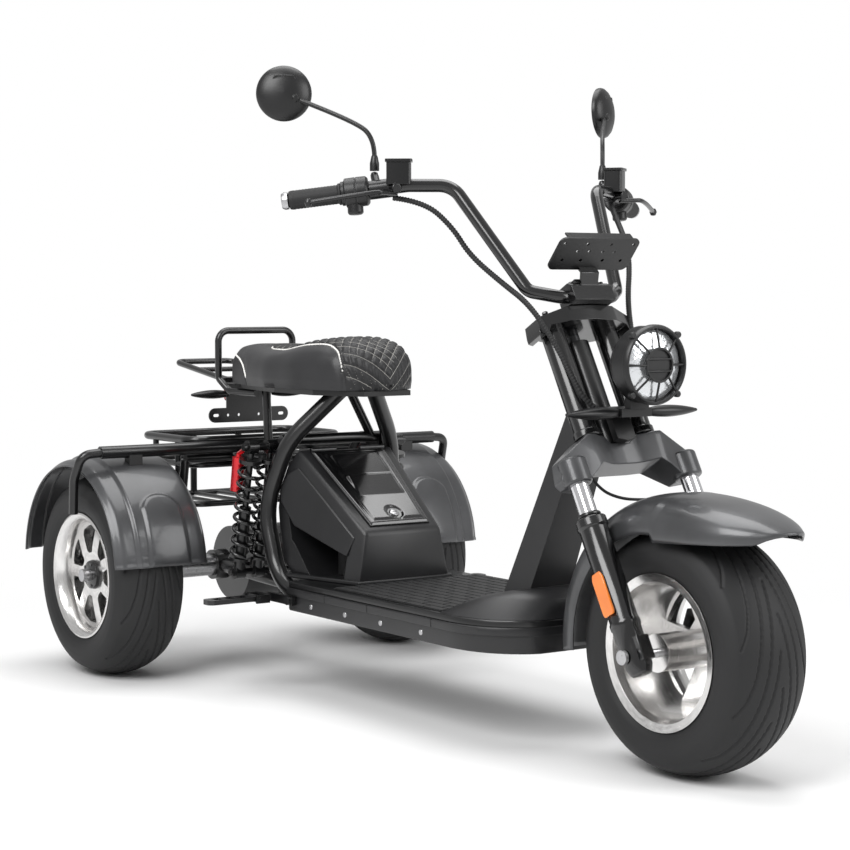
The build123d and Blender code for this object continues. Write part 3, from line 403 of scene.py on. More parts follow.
def make_tyre(node, body, width, centre):
    """Tyre with its tread, in place of the plain CAD ring."""
    profile = np.array(tyre_profile(width))
    half = width / 2 - SHOULDER_IN
    angles = np.linspace(0, 2 * pi, RING, endpoint=False)
    r = np.tile(profile[:, 0], (RING, 1))
    y = np.tile(profile[:, 1], (RING, 1))
    a = np.tile(angles[:, None], (1, len(profile)))
    crown = np.clip((r - (TYRE_R - 0.026)) / 0.004, 0, 1)
    near = groove_distance(a * TYRE_R, y, half)
    cut = np.clip(1 - (near / (GROOVE_W / 2)) ** 2, 0, 1) ** 0.5
    r = r - GROOVE_D * cut * crown
    rib = 0.0008 * (np.abs(r - (RIM_R + 0.012)) < 0.003) + 0.0007 * (np.abs(r - (RIM_R + 0.040)) < 0.002)
    y = y + np.sign(y) * rib * (np.abs(y) > width / 2 - 0.02)
    verts = np.stack([centre[0] + r * np.cos(a), centre[1] + y, centre[2] + r * np.sin(a)], -1).reshape(-1, 3)
    tyre = mesh_object(node + "_tread", verts, grid_faces(RING, len(profile), True, True), smooth=True)
    stand_for(tyre, body, "tyre_rubber", node)


# Forms, in millimetres

UP = Vector((-sin(RAKE), 0, cos(RAKE)))
AHEAD = Vector((cos(RAKE), 0, sin(RAKE)))


def fork(t, y, s):
    """Point in the fork's frame: t forward of the legs, s up the fork from the axle."""
    return Vector((FRONT_X, y, HUB_Z)) + AHEAD * t + UP * s


def fork_side(a, b, c):
    """Point of an outline drawn on the fork's side: a forward, b up the fork, c to the left."""
    return fork(a, c, b)


def at_front(dx, y, z):
    """Point given from the front axle."""
    return Vector((FRONT_X + dx, y, z))


def smooth_line(points, fine=10, order=3):
    """Points along the NURBS line that the given points steer, fine of them to a span."""
    data = bpy.data.curves.new("route", "CURVE")
    data.dimensions, data.resolution_u = "3D", fine
    line = data.splines.new("NURBS")
    line.points.add(len(points) - 1)
    for knot, p in zip(line.points, points):
        knot.co = (*p, 1)
    line.order_u, line.use_endpoint_u = order, True
    obj = bpy.data.objects.new("route", data)
    mesh = bpy.data.meshes.new_from_object(obj)
    found = [v.co.copy() for v in mesh.vertices]
    bpy.data.objects.remove(obj)
    bpy.data.curves.remove(data)
    bpy.data.meshes.remove(mesh)
    return found


def frames_along(line):
    """Two unit vectors across each point of a line, turned as little as possible along it."""
    frames = []
    side = None
    for i in range(len(line)):
        d = (line[min(i + 1, len(line) - 1)] - line[max(i - 1, 0)]).normalized()
        side = side or d.orthogonal()
        side = (side - d * side.dot(d)).normalized()
        frames.append((side, d.cross(side)))
    return frames


def turns(count, start=0.0):
    """Cosine and sine of evenly spaced angles round a circle."""
    return [(cos(start + 2 * pi * k / count), sin(start + 2 * pi * k / count)) for k in range(count)]


def shade(mesh, sharp=35):
    """Smooth shading between the edges sharper than an angle."""
    mesh.shade_smooth()
    mesh.set_sharp_from_angle(angle=radians(sharp))


def ease_edges(obj, width, angle=35):
    """Bevel, its width in millimetres, on the edges sharper than an angle."""
    ease = obj.modifiers.new("ease", "BEVEL")
    ease.width, ease.segments, ease.limit_method, ease.angle_limit = width * MM, 2, "ANGLE", radians(angle)


POLE_R = 0.01                      # the end of a turned form is a ring of this radius


class Shape:
    """Points and faces of one piece, gathered from simple forms."""

    def __init__(self):
        self.verts, self.faces = [], []

    def add(self, verts, faces):
        """Appends points and the faces between them."""
        n = len(self.verts)
        self.verts += [Vector(v) for v in verts]
        self.faces += [tuple(n + i for i in f) for f in faces]
        return self

    def both(self):
        """Adds the mirror image over the centre plane."""
        return self.add([(v.x, -v.y, v.z) for v in self.verts], [tuple(reversed(f)) for f in self.faces])

    def rings(self, rings, close=True):
        """Skin over rings of equal count, with end caps."""
        k = len(rings[0])
        faces = grid_faces(len(rings), k, False, True)
        if close:
            faces += [tuple(range(k)), tuple((len(rings) - 1) * k + i for i in range(k))]
        return self.add([p for ring in rings for p in ring], faces)

    def prism(self, outline, place, low, high):
        """Outline of (a, b) pairs between two depths; place turns (a, b, depth) into a point."""
        return self.rings([[place(a, b, low) for a, b in outline], [place(a, b, high) for a, b in outline]])

    def block(self, x0, x1, y0, y1, z0, z1):
        """Box between two values on each axis."""
        return self.prism([(x0, y0), (x1, y0), (x1, y1), (x0, y1)], lambda a, b, c: (a, b, c), z0, z1)

    def lathe(self, profile, at, axis, sides=40):
        """(radius, along) profile turned about an axis."""
        axis = Vector(axis).normalized()
        u = axis.orthogonal().normalized()
        v = axis.cross(u)
        ways = [u * c + v * s for c, s in turns(sides)]
        return self.rings([[Vector(at) + axis * h + way * max(r, POLE_R) for way in ways] for r, h in profile])

    def rod(self, p, q, r, sides=20, edge=0.0):
        """Round bar, its ends eased by edge."""
        p, q = Vector(p), Vector(q)
        n = (q - p).length
        ends = [(r - edge, 0), (r, edge), (r, n - edge), (r - edge, n)] if edge else [(r, 0), (r, n)]
        return self.lathe(ends, p, q - p, sides)

    def tube(self, points, r, sides=12, rib=0.0, pitch=4.0, fine=10):
        """Tube along a smooth line; rib is the height of its rings, pitch their spacing."""
        line = smooth_line(points, fine)
        if rib:
            split = []
            for a, b in zip(line, line[1:]):
                n = max(1, int((b - a).length / (pitch / 4)))
                split += [a.lerp(b, k / n) for k in range(n)]
            line = split + [line[-1]]
        rings = []
        for i, (p, (u, v)) in enumerate(zip(line, frames_along(line))):
            here = r - (rib if i % 4 in (0, 1) else 0)
            rings.append([p + (u * c + v * s) * here for c, s in turns(sides)])
        return self.rings(rings)

    def make(self, name, body=None, slot=None, *replaced, bevel=0.0, thick=0.0, sharp=35):
        """Mesh object of the shape, its edges eased and its sheet thickened inward where asked."""
        obj = mesh_object(name, [v * MM for v in self.verts], self.faces)
        edit = bmesh.new()
        edit.from_mesh(obj.data)
        bmesh.ops.remove_doubles(edit, verts=edit.verts, dist=1e-6)
        bmesh.ops.recalc_face_normals(edit, faces=edit.faces)
        edit.to_mesh(obj.data)
        edit.free()
        shade(obj.data, sharp)
        if thick:
            wall = obj.modifiers.new("wall", "SOLIDIFY")
            wall.thickness, wall.offset = thick * MM, -1
        if bevel:
            ease_edges(obj, bevel)
        if body:
            stand_for(obj, body, slot, *replaced)
        return obj


def cut(obj, cutter):
    """Takes the cutter's space out of a mesh for good."""
    knife = obj.modifiers.new("cut", "BOOLEAN")
    knife.object, knife.operation, knife.solver = cutter, "DIFFERENCE", "EXACT"
    bpy.context.view_layer.update()
    mesh = bpy.data.meshes.new_from_object(obj.evaluated_get(bpy.context.evaluated_depsgraph_get()))
    obj.modifiers.clear()
    obj.data = mesh
    shade(mesh)
    bpy.data.objects.remove(cutter)


def along_y(breaks, at):
    """Value of a broken line of (|y|, value) pairs at y."""
    return float(np.interp(abs(at), [b[0] for b in breaks], [b[1] for b in breaks]))


def front_fender():
    """Deep rounded arch over the wheel that runs on into a drooping, closing nose."""
    half, low, top = 104.0, 209.0, 278.0       # half width, radii of the lower edge and the crown
    bend, start, reach = 360.0, 70.0, 249.0    # the nose: growth of the radius, where it narrows, its tip
    rings = []
    for deg in list(np.linspace(186, 90, 56)) + list(np.linspace(89.2, 67.15, 34)):
        a = radians(deg)
        wide, base, centre, lift = half, low, HUB_Z, 0.0
        if deg < 90:
            ahead = (top + bend) * cos(a)
            t = min(max((ahead - start) / (reach - start), 0), 1)
            wide = half * sqrt(max(1 - t ** 2.3, 0.012))
            base, centre, lift = (bend + 196 + 0.05 * ahead) / sin(a) - bend, HUB_Z - bend, bend
            base += (top - base) * 0.8 * max(t - 0.86, 0) / 0.14
        column = []
        for k in range(49):
            u = pi * k / 48
            w = wide * (1 if cos(u) > 0 else -1) * abs(cos(u)) ** 0.72
            r = base + (top - base) * sin(u) ** 0.78 + lift
            column.append((FRONT_X + r * cos(a), w, centre + r * sin(a)))
        rings.append(column)
    sheet = Shape().add([p for ring in rings for p in ring], grid_faces(len(rings), 49))
    sheet.make("front_fender_shell", "steering", "panel_grey", "front_fender", thick=3.0, sharp=60)


# heights up the fork from the axle, and where its legs and upper tubes stand
YOKE_LOW, YOKE_TOP, BOSS_TOP, CLAMP_S = 327.0, 420.0, 381.0, 640.0
LEG_Y, UPPER_Y, UPPER_T = 132.0, 64.0, -12.0


def fork_bridge(stations, high, low, front, back):
    """Casting across the fork, from broken lines of its top, underside, front and back over |y|."""
    rings = []
    for y in sorted({s for y in stations for s in (y, -y)}):
        t0, t1, s0, s1 = along_y(back, y), along_y(front, y), along_y(low, y), along_y(high, y)
        rings.append([fork(t0, y, s0), fork(t0, y, s1), fork(t1, y, s1), fork(t1, y, s0)])
    return Shape().rings(rings)


def fork_forms():
    """Lower yoke, top clamp with the upper tubes, legs with the caliper, and the side reflectors."""
    yoke = fork_bridge((0, 22, 39, 69, 87, 116, 152, 162),
                       [(22, YOKE_TOP - 14), (39, YOKE_TOP), (87, YOKE_TOP), (152, BOSS_TOP - 2), (162, YOKE_LOW + 14)],
                       [(69, YOKE_LOW + 37), (116, YOKE_LOW), (152, YOKE_LOW), (162, YOKE_LOW + 12)],
                       [(22, -2), (32, -2), (77, 19), (152, 2), (162, -4)], [(56, -60), (152, -32), (162, -30)])
    for y in (-LEG_Y, LEG_Y):
        yoke.rod(fork(0, y, YOKE_LOW - 1), fork(0, y, BOSS_TOP - 6), 27, 40, 3)
    yoke.rod(fork(-34, 0, YOKE_LOW + 60), fork(-34, 0, 668), 13)
    yoke.make("lower_yoke_casting", "steering", "panel_grey", "lower_yoke", bevel=3)

    clamp = fork_bridge((0, 54, 60, 91, 99, 106, 114), [(54, 670), (106, 661), (114, 634)],
                        [(91, 640), (99, 626), (114, 626)], [(44, 44), (60, 36), (114, 12)],
                        [(36, -58), (112, -32), (114, -30)])
    for y in (-UPPER_Y, UPPER_Y):
        clamp.rod(fork(UPPER_T, y, YOKE_TOP + 1), fork(UPPER_T, y, CLAMP_S + 4), 23, 40, 1)
        clamp.rod(fork(UPPER_T, y, YOKE_TOP + 1), fork(UPPER_T, y, YOKE_TOP + 16), 26, 40, 2)
    for y in (-84, -30, 30, 84):
        clamp.rod(fork(8, y, 668), fork(8, y, 674), 6, 6, 1)
    clamp.make("top_clamp_casting", "steering", "fork_black", "top_clamp", bevel=3)

    legs = Shape().rod(fork(0, LEG_Y, 41), fork(0, LEG_Y, YOKE_LOW + 4), 17, 40)
    legs.both().make("fork_tubes", "steering", "chrome_tube", "fork_stanchions")

    low = Shape()
    low.lathe([(17.5, 262), (23, 262), (28.5, 259), (29, 243), (26.5, 240), (26, 66), (28, 63), (28, 54), (26, 51),
               (26, 12), (24, -20), (19, -34), (10, -36), (0, -36)], fork(0, LEG_Y, 0), UP, 48)
    low.prism([(-14, -16), (14, -16), (14, 28), (-14, 28)], lambda a, b, c: fork(c, LEG_Y + a, b), 20, 33)
    low.lathe([(19, 262.5), (22, 262.5), (22, 268), (19, 270)], fork(0, LEG_Y, 0), UP, 40)
    low.both()
    for side in (1, -1):
        low.rod(fork(-14, side * (LEG_Y - 20), 246), fork(-18, side * 96, 246), 8, 20)
    # caliper on the left leg, over the disc
    low.prism([(-96, 20), (-50, 20), (-38, 48), (-40, 84), (-66, 96), (-96, 70)],
              fork_side, 80, 106)
    low.prism([(-60, 30), (-10, 44), (-10, 62), (-60, 66)], fork_side, 98, 112)
    low.make("fork_legs", "steering", "fork_black", "fork_sliders", bevel=1.5)

    side = Shape().prism([(-15, 84), (-12, 78), (12, 78), (15, 84), (15, 148), (10, 158), (-10, 158), (-15, 148)],
                         fork_side, LEG_Y + 25.5, LEG_Y + 30)
    side.both().make("fork_reflector_lenses", "steering", "amber_lens", bevel=1.2)


LAMP_FACE = Vector((649.5, 0, 725))


def lamp_forms():
    """Headlight guard and lens."""
    guard, at = Shape(), LAMP_FACE
    guard.lathe([(66, 0.4), (73, 0.4), (73, 8), (70, 13), (66, 13), (66, 0.4)], at, (1, 0, 0), 64)
    guard.lathe([(28, 17), (32, 17), (32, 21), (28, 21), (28, 17)], at, (1, 0, 0), 40)
    for c, s in turns(8):
        guard.rod(at + Vector((19, 30 * c, 30 * s)), at + Vector((9, 69 * c, 69 * s)), 2.2, 10)
    for z in (-11, 11):
        guard.rod(at + Vector((19, -28, z)), at + Vector((19, 28, z)), 2.2, 10)
    for c, s in turns(4, pi / 4):
        guard.rod(at + Vector((0.4, 76 * c, 76 * s)), at + Vector((11, 76 * c, 76 * s)), 6, 16, 1)
    guard.make("lamp_guard", "steering", "plastic_black", "headlight_guard", bevel=0.6)
    # the lens takes the look of the reflector behind it
    dome = Shape().lathe([(64.4, -3), (63.8, 0), (56, 4), (38, 7.5), (16, 9.4), (0, 9.6)], at, (1, 0, 0), 64)
    dome.make("lamp_dome", "steering", "lamp_glass")


HOLE_R = 3.4


def plate_and_clamp():
    """Pierced mounting plate, and the clamp that holds the handlebar and the plate."""
    plate = Shape().prism(rounded_box(190, 74, 13), tilted_plate, 0, 4)
    flange = Shape()
    holes = Shape()
    for z, row in ((24, (-82, -28, 28, 82)), (6, (-44, -16, 16, 44)), (-14, (-26, 26)), (-14, (-70, 70))):
        for y in row:
            holes.prism([(y + HOLE_R * c, z + HOLE_R * s) for c, s in turns(16)], tilted_plate, -9, 12)
    flange.prism([(-78, 33), (78, 33), (78, 37), (-78, 37)], tilted_plate, -14, 1)
    flange.prism([(-92, -14), (-62, -34), (62, -34), (92, -14), (92, -10), (-92, -10)], tilted_plate, -3, 0)
    flange.prism([(-22, -40), (22, -40), (22, -8), (-22, -8)], tilted_plate, -7, -1)
    body = plate.make("mounting_plate")
    cut(body, holes.make("plate_holes"))
    stand_for(body, "steering", "plastic_black", "display")
    flange.make("mounting_plate_back", "steering", "plastic_black", bevel=1)

    riser = Shape()
    bar = at_front(BAR_X, 0, BAR_Z) - fork(0, 0, 0)
    t, s = bar.dot(AHEAD), bar.dot(UP)
    outline = [(t - 24, 671), (t + 24, 671), (t + 24, s + 12), (t + 14, s + 22), (t - 14, s + 22), (t - 24, s + 12)]
    riser.prism(outline, fork_side, -48, 48)
    riser.prism([(t - 21, s + 22), (t + 17, s + 22), (t + 14, s + 31), (t - 17, s + 31)],
                fork_side, -27, 27)
    tongue = [fork(t + 12, 0, s + 10), at_front(BAR_X, 0, BAR_Z + 46)]
    riser.rings([[tongue[0] + Vector((dx, y, 0)) for dx, y in ((-3, -20), (3, -20), (3, 20), (-3, 20))],
                 [tongue[1] + Vector((dx, y, 0)) for dx, y in ((6, -21), (12, -21), (12, 21), (6, 21))],
                 [Vector(tilted_plate(y, z, -5)) for y, z in ((-22, -36), (-22, -30), (22, -30), (22, -36))]])
    for y in (-36, 36):
        for ahead in (t - 12, t + 10):
            riser.rod(fork(ahead, y, s + 20), fork(ahead, y, s + 26), 5, 6, 1)
    riser.make("bar_clamp", "steering", "fork_black", "bar_riser", bevel=2)


def rounded_box(width, height, r, steps=5):
    """Outline of a rectangle with round corners about the middle."""
    points = []
    for cx, cy, start in ((1, 1, 0), (-1, 1, 90), (-1, -1, 180), (1, -1, 270)):
        for k in range(steps + 1):
            a = radians(start + 90 * k / steps)
            points.append((cx * (width / 2 - r) + r * cos(a), cy * (height / 2 - r) + r * sin(a)))
    return points


def tilted_plate(across_y, up, out):
    """Point on the tilted mounting plate ahead of the bar."""
    a = radians(40)
    return Vector((FRONT_X - 280 + out * cos(a) + up * sin(a), across_y, 928 - out * sin(a) + up * cos(a)))


BAR_IN, BAR_OUT = at_front(-530, 245, 1056), at_front(-668, 425, 1028)
ALONG = (BAR_OUT - BAR_IN).normalized()


def on_bar(d):
    """Point on the bar's left end run, measured in from its tip."""
    return BAR_OUT - ALONG * d


def bar_forms():
    """Grips, switch pods, levers with their reservoirs, and mirrors: the left ones and their mirror images."""
    ribs = [(17.6 + 0.6 * (k % 2), 92 - 3 * k) for k in range(28)]
    grip = Shape().lathe([(12.6, 100), (20.5, 100), (20.5, 96), (18, 94)] + ribs + [(18, 6), (17, 2), (12.6, 0)],
                         BAR_OUT, -ALONG, 36)
    grip.both().make("rubber_grips", "steering", "grip_rubber", "grips")
    end = Shape().lathe([(12, 0), (16.5, -1), (16.5, -8), (14, -13), (0, -14)], BAR_OUT, -ALONG, 36)
    end.both().make("grip_ends", "steering", "brake_steel")

    pod = Shape()
    pod.lathe([(13, 101), (23, 101), (23, 107), (28, 109), (28.5, 128), (27, 129), (28.5, 131), (28, 149), (24, 153),
               (13, 153)], BAR_OUT, -ALONG, 40)
    pod.rod(on_bar(126) - Vector((0, 0, 6)), on_bar(126) - Vector((-4, 0, 42)), 15, 24, 3)
    pod.both().make("switch_pods", "steering", "plastic_black", "switch_housings", bevel=1)
    knob = Shape().rod(on_bar(138) + Vector((-20, -6, 12)), on_bar(138) + Vector((-33, -9, 14)), 7, 24, 2)
    knob.both().make("switch_buttons", "steering", "red_lens")

    lever = Shape()
    foot = on_bar(170) + Vector((-26, -10, 27))
    pivot = on_bar(194) + Vector((32, 6, -2))
    lever.lathe([(13, 154), (18, 154), (18, 206), (13, 206)], BAR_OUT, -ALONG, 32)
    lever.rod(on_bar(170), foot, 8, 20, 2).rod(on_bar(194), pivot, 10, 20, 2)
    side = Vector((-ALONG.y, ALONG.x, 0)).normalized()
    flat = Vector((ALONG.x, ALONG.y, 0)).normalized()
    tank = on_bar(206) + Vector((10, 2, 4))
    for low, high, grow in ((0, 42, 0), (42, 48, 2.5)):
        lever.prism(rounded_box(46 + 2 * grow, 36 + 2 * grow, 6),
                    lambda a, b, c: tank + flat * a + side * b + Vector((0, 0, c)), low, high)
    tip = at_front(-598, 425, 1022)
    lever.tube([pivot + Vector((-10, -4, -10)), pivot + Vector((-4, 22, -9)), pivot + Vector((4, 52, -8)), tip], 4.6)
    lever.lathe([(0, -8), (5, -7), (8, 0), (5, 7), (0, 8)], tip, (0, 0, 1), 20)
    lever.lathe([(0, -8), (6, -6), (8, 0), (6, 6), (0, 8)], foot, (0, 0, 1), 20)
    lever.both().make("levers", "steering", "lever_metal", "brake_controls", bevel=0.8)

    head, glass = Shape(), Shape()
    centre, back = at_front(-733, 395, 1235), Vector((0.85, 0.5, 0.05)).normalized()
    inward = Vector((0.5, -0.85, 0)).normalized()
    head.lathe([(49.5, -2), (50, -3.5), (53, -3), (53.5, 2), (52, 7), (46, 13), (34, 19), (20, 23), (0, 25)],
               centre, back, 64)
    top = foot + Vector((0, 0, 9))
    head.lathe([(9, 0), (9, 14), (6, 28), (4.5, 30)], top, (0, 0, 1), 24)
    joint = centre + inward * 22 - Vector((0, 0, 11))
    head.tube([top + Vector((0, 0, 24)), top + Vector((0, 0, 60)), top + Vector((0, 0, 64)) + (centre - top) * 0.2,
               joint + back * 14], 4.6)
    head.lathe([(8, -4), (8, 6), (5, 10)], joint + back * 16, back, 20)
    for z in (-1, 1):
        head.prism([(-22, 26), (22, 26), (18, 33), (-18, 33)],
                   lambda a, b, c: centre + inward * a + Vector((0, 0, b * z)) + back * c, 10, 18.5)
    head.both().make("mirror_heads", "steering", "plastic_black", "mirrors", bevel=0.8)
    glass.lathe([(0, -2.6), (49.4, -2.6), (49.4, -1), (0, -1)], centre, back, 48)
    glass.both().make("mirror_faces", "steering", "mirror_glass", "mirror_glasses")


# looms from the front axle and the bar's height; hose in the fork's frame
NEAR_LOOM = [(-549, -268, 187), (-512, -222, 180), (-476, -182, 132), (-455, -157, 79), (-388, -132, 27),
             (-306, -128, -14), (-258, -104, -89), (-232, -88, -146), (-216, -76, -182), (-205, -52, -205),
             (-196, -36, -212)]
FAR_LOOM = [(-549, 268, 187), (-500, 230, 176), (-448, 200, 150), (-385, 168, 108), (-342, 142, 62), (-322, 120, -6),
            (-292, 104, -66), (-256, 86, -130), (-228, 72, -176), (-205, 52, -205), (-196, 36, -212)]
BRAKE_HOSE = [(-38, -66, 361), (-36, -56, 330), (-22, -28, 304), (-16, 16, 296), (-26, 62, 300), (-42, 98, 288),
              (-54, 114, 246), (-60, 112, 196), (-62, 108, 148), (-62, 98, 106), (-62, 94, 63)]


def held_cords():
    """Looms from the switches down to the lamp bracket, and the hose to the caliper; both are held all the way."""
    looms = Shape()
    for row in (NEAR_LOOM, FAR_LOOM):
        looms.tube([at_front(dx, y, BAR_Z + dz) for dx, y, dz in row], 5.6, 10, 0.9, 5.0)
    looms.make("wiring_looms", "steering", "grip_rubber", sharp=80)
    Shape().tube([fork(*p) for p in BRAKE_HOSE], 2.8, 10).make("brake_line", "steering", "grip_rubber", sharp=80)


def smoothstep(x, a, b):
    """0 up to a, 1 from b, eased between."""
    t = np.clip((x - a) / (b - a), 0, 1)
    return t * t * (3 - 2 * t)


def rear_fender():
    """Wide rounded arch: stepped outer band, crowned top, embossed arch on the front, inner wall."""
    centre, radius, low, high = Vector((REAR_X - 18, 0, 243)), 252.0, 248.0, 480.0
    half, mid = (high - low) / 2, (high + low) / 2
    turn = np.radians(np.linspace(4.5, 175.5, 171))
    w = np.concatenate([[-half], np.linspace(-half + 2, half - 58, 52), np.linspace(half - 56, half, 22)])
    drop = 8 * (w / half) ** 2 + 27 * smoothstep(-w, half - 40, half) ** 2
    drop += 7 * smoothstep(w, half - 54, half - 46) + 10 * smoothstep(w, half - 26, half) ** 2
    drop[0] += 40
    a, ww = np.meshgrid(turn, w, indexing="ij")
    r = radius - drop + 0 * a
    along = a * radius
    # embossed arch: a straight-sided panel with a round head
    head = np.hypot(ww + 6, np.maximum(along - 138, 0))
    side = np.maximum(np.abs(ww + 6) - (48 - 0.02 * along), head - 48)
    r += 6.5 * smoothstep(-side, -3, 4) * smoothstep(along, 18, 30)
    r += 2.0 * smoothstep(-np.abs(a - turn[0]) * radius, -9, -5)
    verts = np.stack([centre.x + r * np.cos(a), mid + ww, centre.z + r * np.sin(a)], -1).reshape(-1, 3)
    shell = Shape().add(verts, grid_faces(len(turn), len(w)))
    shell.both().make("rear_fender_shells", "frame", "panel_grey", "rear_fenders", thick=3.0, sharp=50)


# plane of the frame tube that the box clears: half width, and its loss a millimetre forward and upward
TUBE_HALF, TUBE_FORWARD, TUBE_UPWARD = 126, 0.2508, 0.2027
LID_BACK, LID_FRONT, LOCK_AT = 12, 265, 232    # along the slope from the box's top edge
KEYHOLE = [(-6, -1), (6, -1), (6, 1), (-6, 1)]
BOX_TOP, BOX_SLOPE = Vector((REAR_X + 371, 0, 515)), Vector((230, 0, -162)).normalized()
BOX_OUT = Vector((-BOX_SLOPE.z, 0, BOX_SLOPE.x))


def box_half(x, z):
    """Half width of the battery box at a place on its side, drawn in where the frame tube passes."""
    plane = TUBE_HALF - TUBE_FORWARD * (x - REAR_X - 348) - TUBE_UPWARD * (z - 518)
    return min(plane, 146 + 30 * float(smoothstep(x, REAR_X + 384, REAR_X + 404)))


def box_shape(outline, inset):
    """Box between its two sides, drawn in by inset."""
    return Shape().rings([[(x, side * (box_half(x, z) - inset), z) for x, z in outline] for side in (-1, 1)])


def on_slope(along, side, out):
    """Point on the sloping front of the battery box."""
    return BOX_TOP + BOX_SLOPE * along + Vector((0, side, 0)) + BOX_OUT * out


def battery_forms():
    """Hollow battery box with its side panels and foot, and the lid with hinge, lock and keyhole."""
    low = DECK_TOP
    rear = [(392, low), (366, 268), (347, 300), (332, 340), (326, 385), (332, 430), (346, 476)]
    outline = [(REAR_X + x, z) for x, z in [(371, 515), (601, 353), (604, 300), (606, low)] + rear]
    box = box_shape(outline, 0).make("box_body", bevel=9)
    inside = [(378, 504), (596, 350), (600, low + 4), (456, low + 4), (378, 322), (357, 395)]
    cut(box, box_shape([(REAR_X + x, z) for x, z in inside], 4).make("box_inside"))
    mouth = Shape().prism([(28, -78), (251, -62), (251, 62), (28, 78)], on_slope, -30, 30)
    cut(box, mouth.make("box_mouth"))
    stand_for(box, "frame", "box_grey", "battery_box")

    trim = Shape()
    panel = [(344, 402), (400, 352), (560, 300), (574, 340), (384, 476), (356, 462), (344, 430)]
    for side in (-1, 1):
        trim.rings([[(REAR_X + x, side * (box_half(REAR_X + x, z) + out), z) for x, z in panel] for out in (-4, 2.6)])
        trim.rings([[(REAR_X + x, side * (box_half(REAR_X + x, low) + out), z) for x, z in
                     ((396, low), (612, low), (612, low + 9), (396, low + 9))] for out in (-8, 5)])
    trim.prism([(606, -118), (613, -118), (613, 118), (606, 118)], lambda a, b, c: (REAR_X + a, b, c), low, low + 9)
    trim.make("box_trim", "frame", "box_grey", bevel=2.5)

    rows, columns = 116, 81
    along, side = np.meshgrid(np.linspace(LID_BACK, LID_FRONT, rows), np.linspace(-1, 1, columns), indexing="ij")
    half = 96 - 20 * (along - LID_BACK) / (LID_FRONT - LID_BACK)
    across = side * half
    edge = np.minimum(np.minimum(along - LID_BACK, LID_FRONT - along), half - np.abs(across))
    height = 3.0 + 4.5 * smoothstep(edge, 0, 7) + 1.6 * smoothstep(edge, 12, 17)
    for start, length, rise, wide in ((40, 62, 5.5, 60), (112, 62, 6.5, 57)):
        ramp = np.clip(1 - (along - start) / length, 0, 1) * smoothstep(along, start - 5, start)
        height += rise * ramp * smoothstep(-np.abs(across), -wide - 3, -wide + 3)
    hollow = np.hypot(along - LOCK_AT, across)
    height -= 3.0 * smoothstep(-hollow, -22, -17)
    verts = [on_slope(a, b, h) for a, b, h in zip(along.ravel(), across.ravel(), height.ravel())]
    lid = Shape().add(verts, grid_faces(rows, columns))
    lid.make("lid_shell", "battery_lid", "lid_gloss", "battery_lid", thick=2.6, sharp=45)
    hinge = Shape()
    for y in (-95, 31):
        hinge.rod(on_slope(LID_BACK, y, 5.3), on_slope(LID_BACK, y + 64, 5.3), 5, 20, 1)
    hinge.make("lid_hinge", "battery_lid", "frame_black")
    lock = Shape().lathe([(0, 5), (11, 5), (11, 9), (9, 10), (0, 10)], on_slope(LOCK_AT, 0, 0), BOX_OUT, 32)
    lock.make("lid_lock", "battery_lid", "brake_steel", bevel=0.5)
    slot = Shape().prism(KEYHOLE, lambda a, b, c: on_slope(LOCK_AT + b, a, c), 9.6, 10.2)
    slot.make("lid_keyhole", "battery_lid", "plastic_black")


DECK_HALF, NOSE_HALF, NOSE_X, NOSE_LONG = 196.0, 62, FRONT_X - 480, 170
MAT_HALF, BRICK, BRICK_ROW = 184, 64, 25.0     # the mat's relief: pitch along a row, and from row to row
TOE_BOARD = [(-503, 244), (-480, 262), (-440, 280), (-400, 290), (-372, 291), (-345, 288), (-322, 280), (-313, 262)]


def deck_half(x):
    """Half width of the deck at x, with its rounded nose."""
    ahead = x - NOSE_X
    if ahead <= 0:
        return DECK_HALF
    round_off = 1 - sqrt(max(0.0, 1 - (ahead / NOSE_LONG) ** 2.2))
    return max(DECK_HALF - (DECK_HALF - NOSE_HALF) * round_off, NOSE_HALF)


def deck_outline(inset):
    """Outline of the deck from above, drawn in by inset."""
    xs = [REAR_X + 456] + [NOSE_X + NOSE_LONG * (k / 20) ** 0.8 for k in range(21)]
    side = [(min(x, NOSE_X + NOSE_LONG - inset), deck_half(x) - inset) for x in xs]
    return side + [(x, -y) for x, y in reversed(side)]


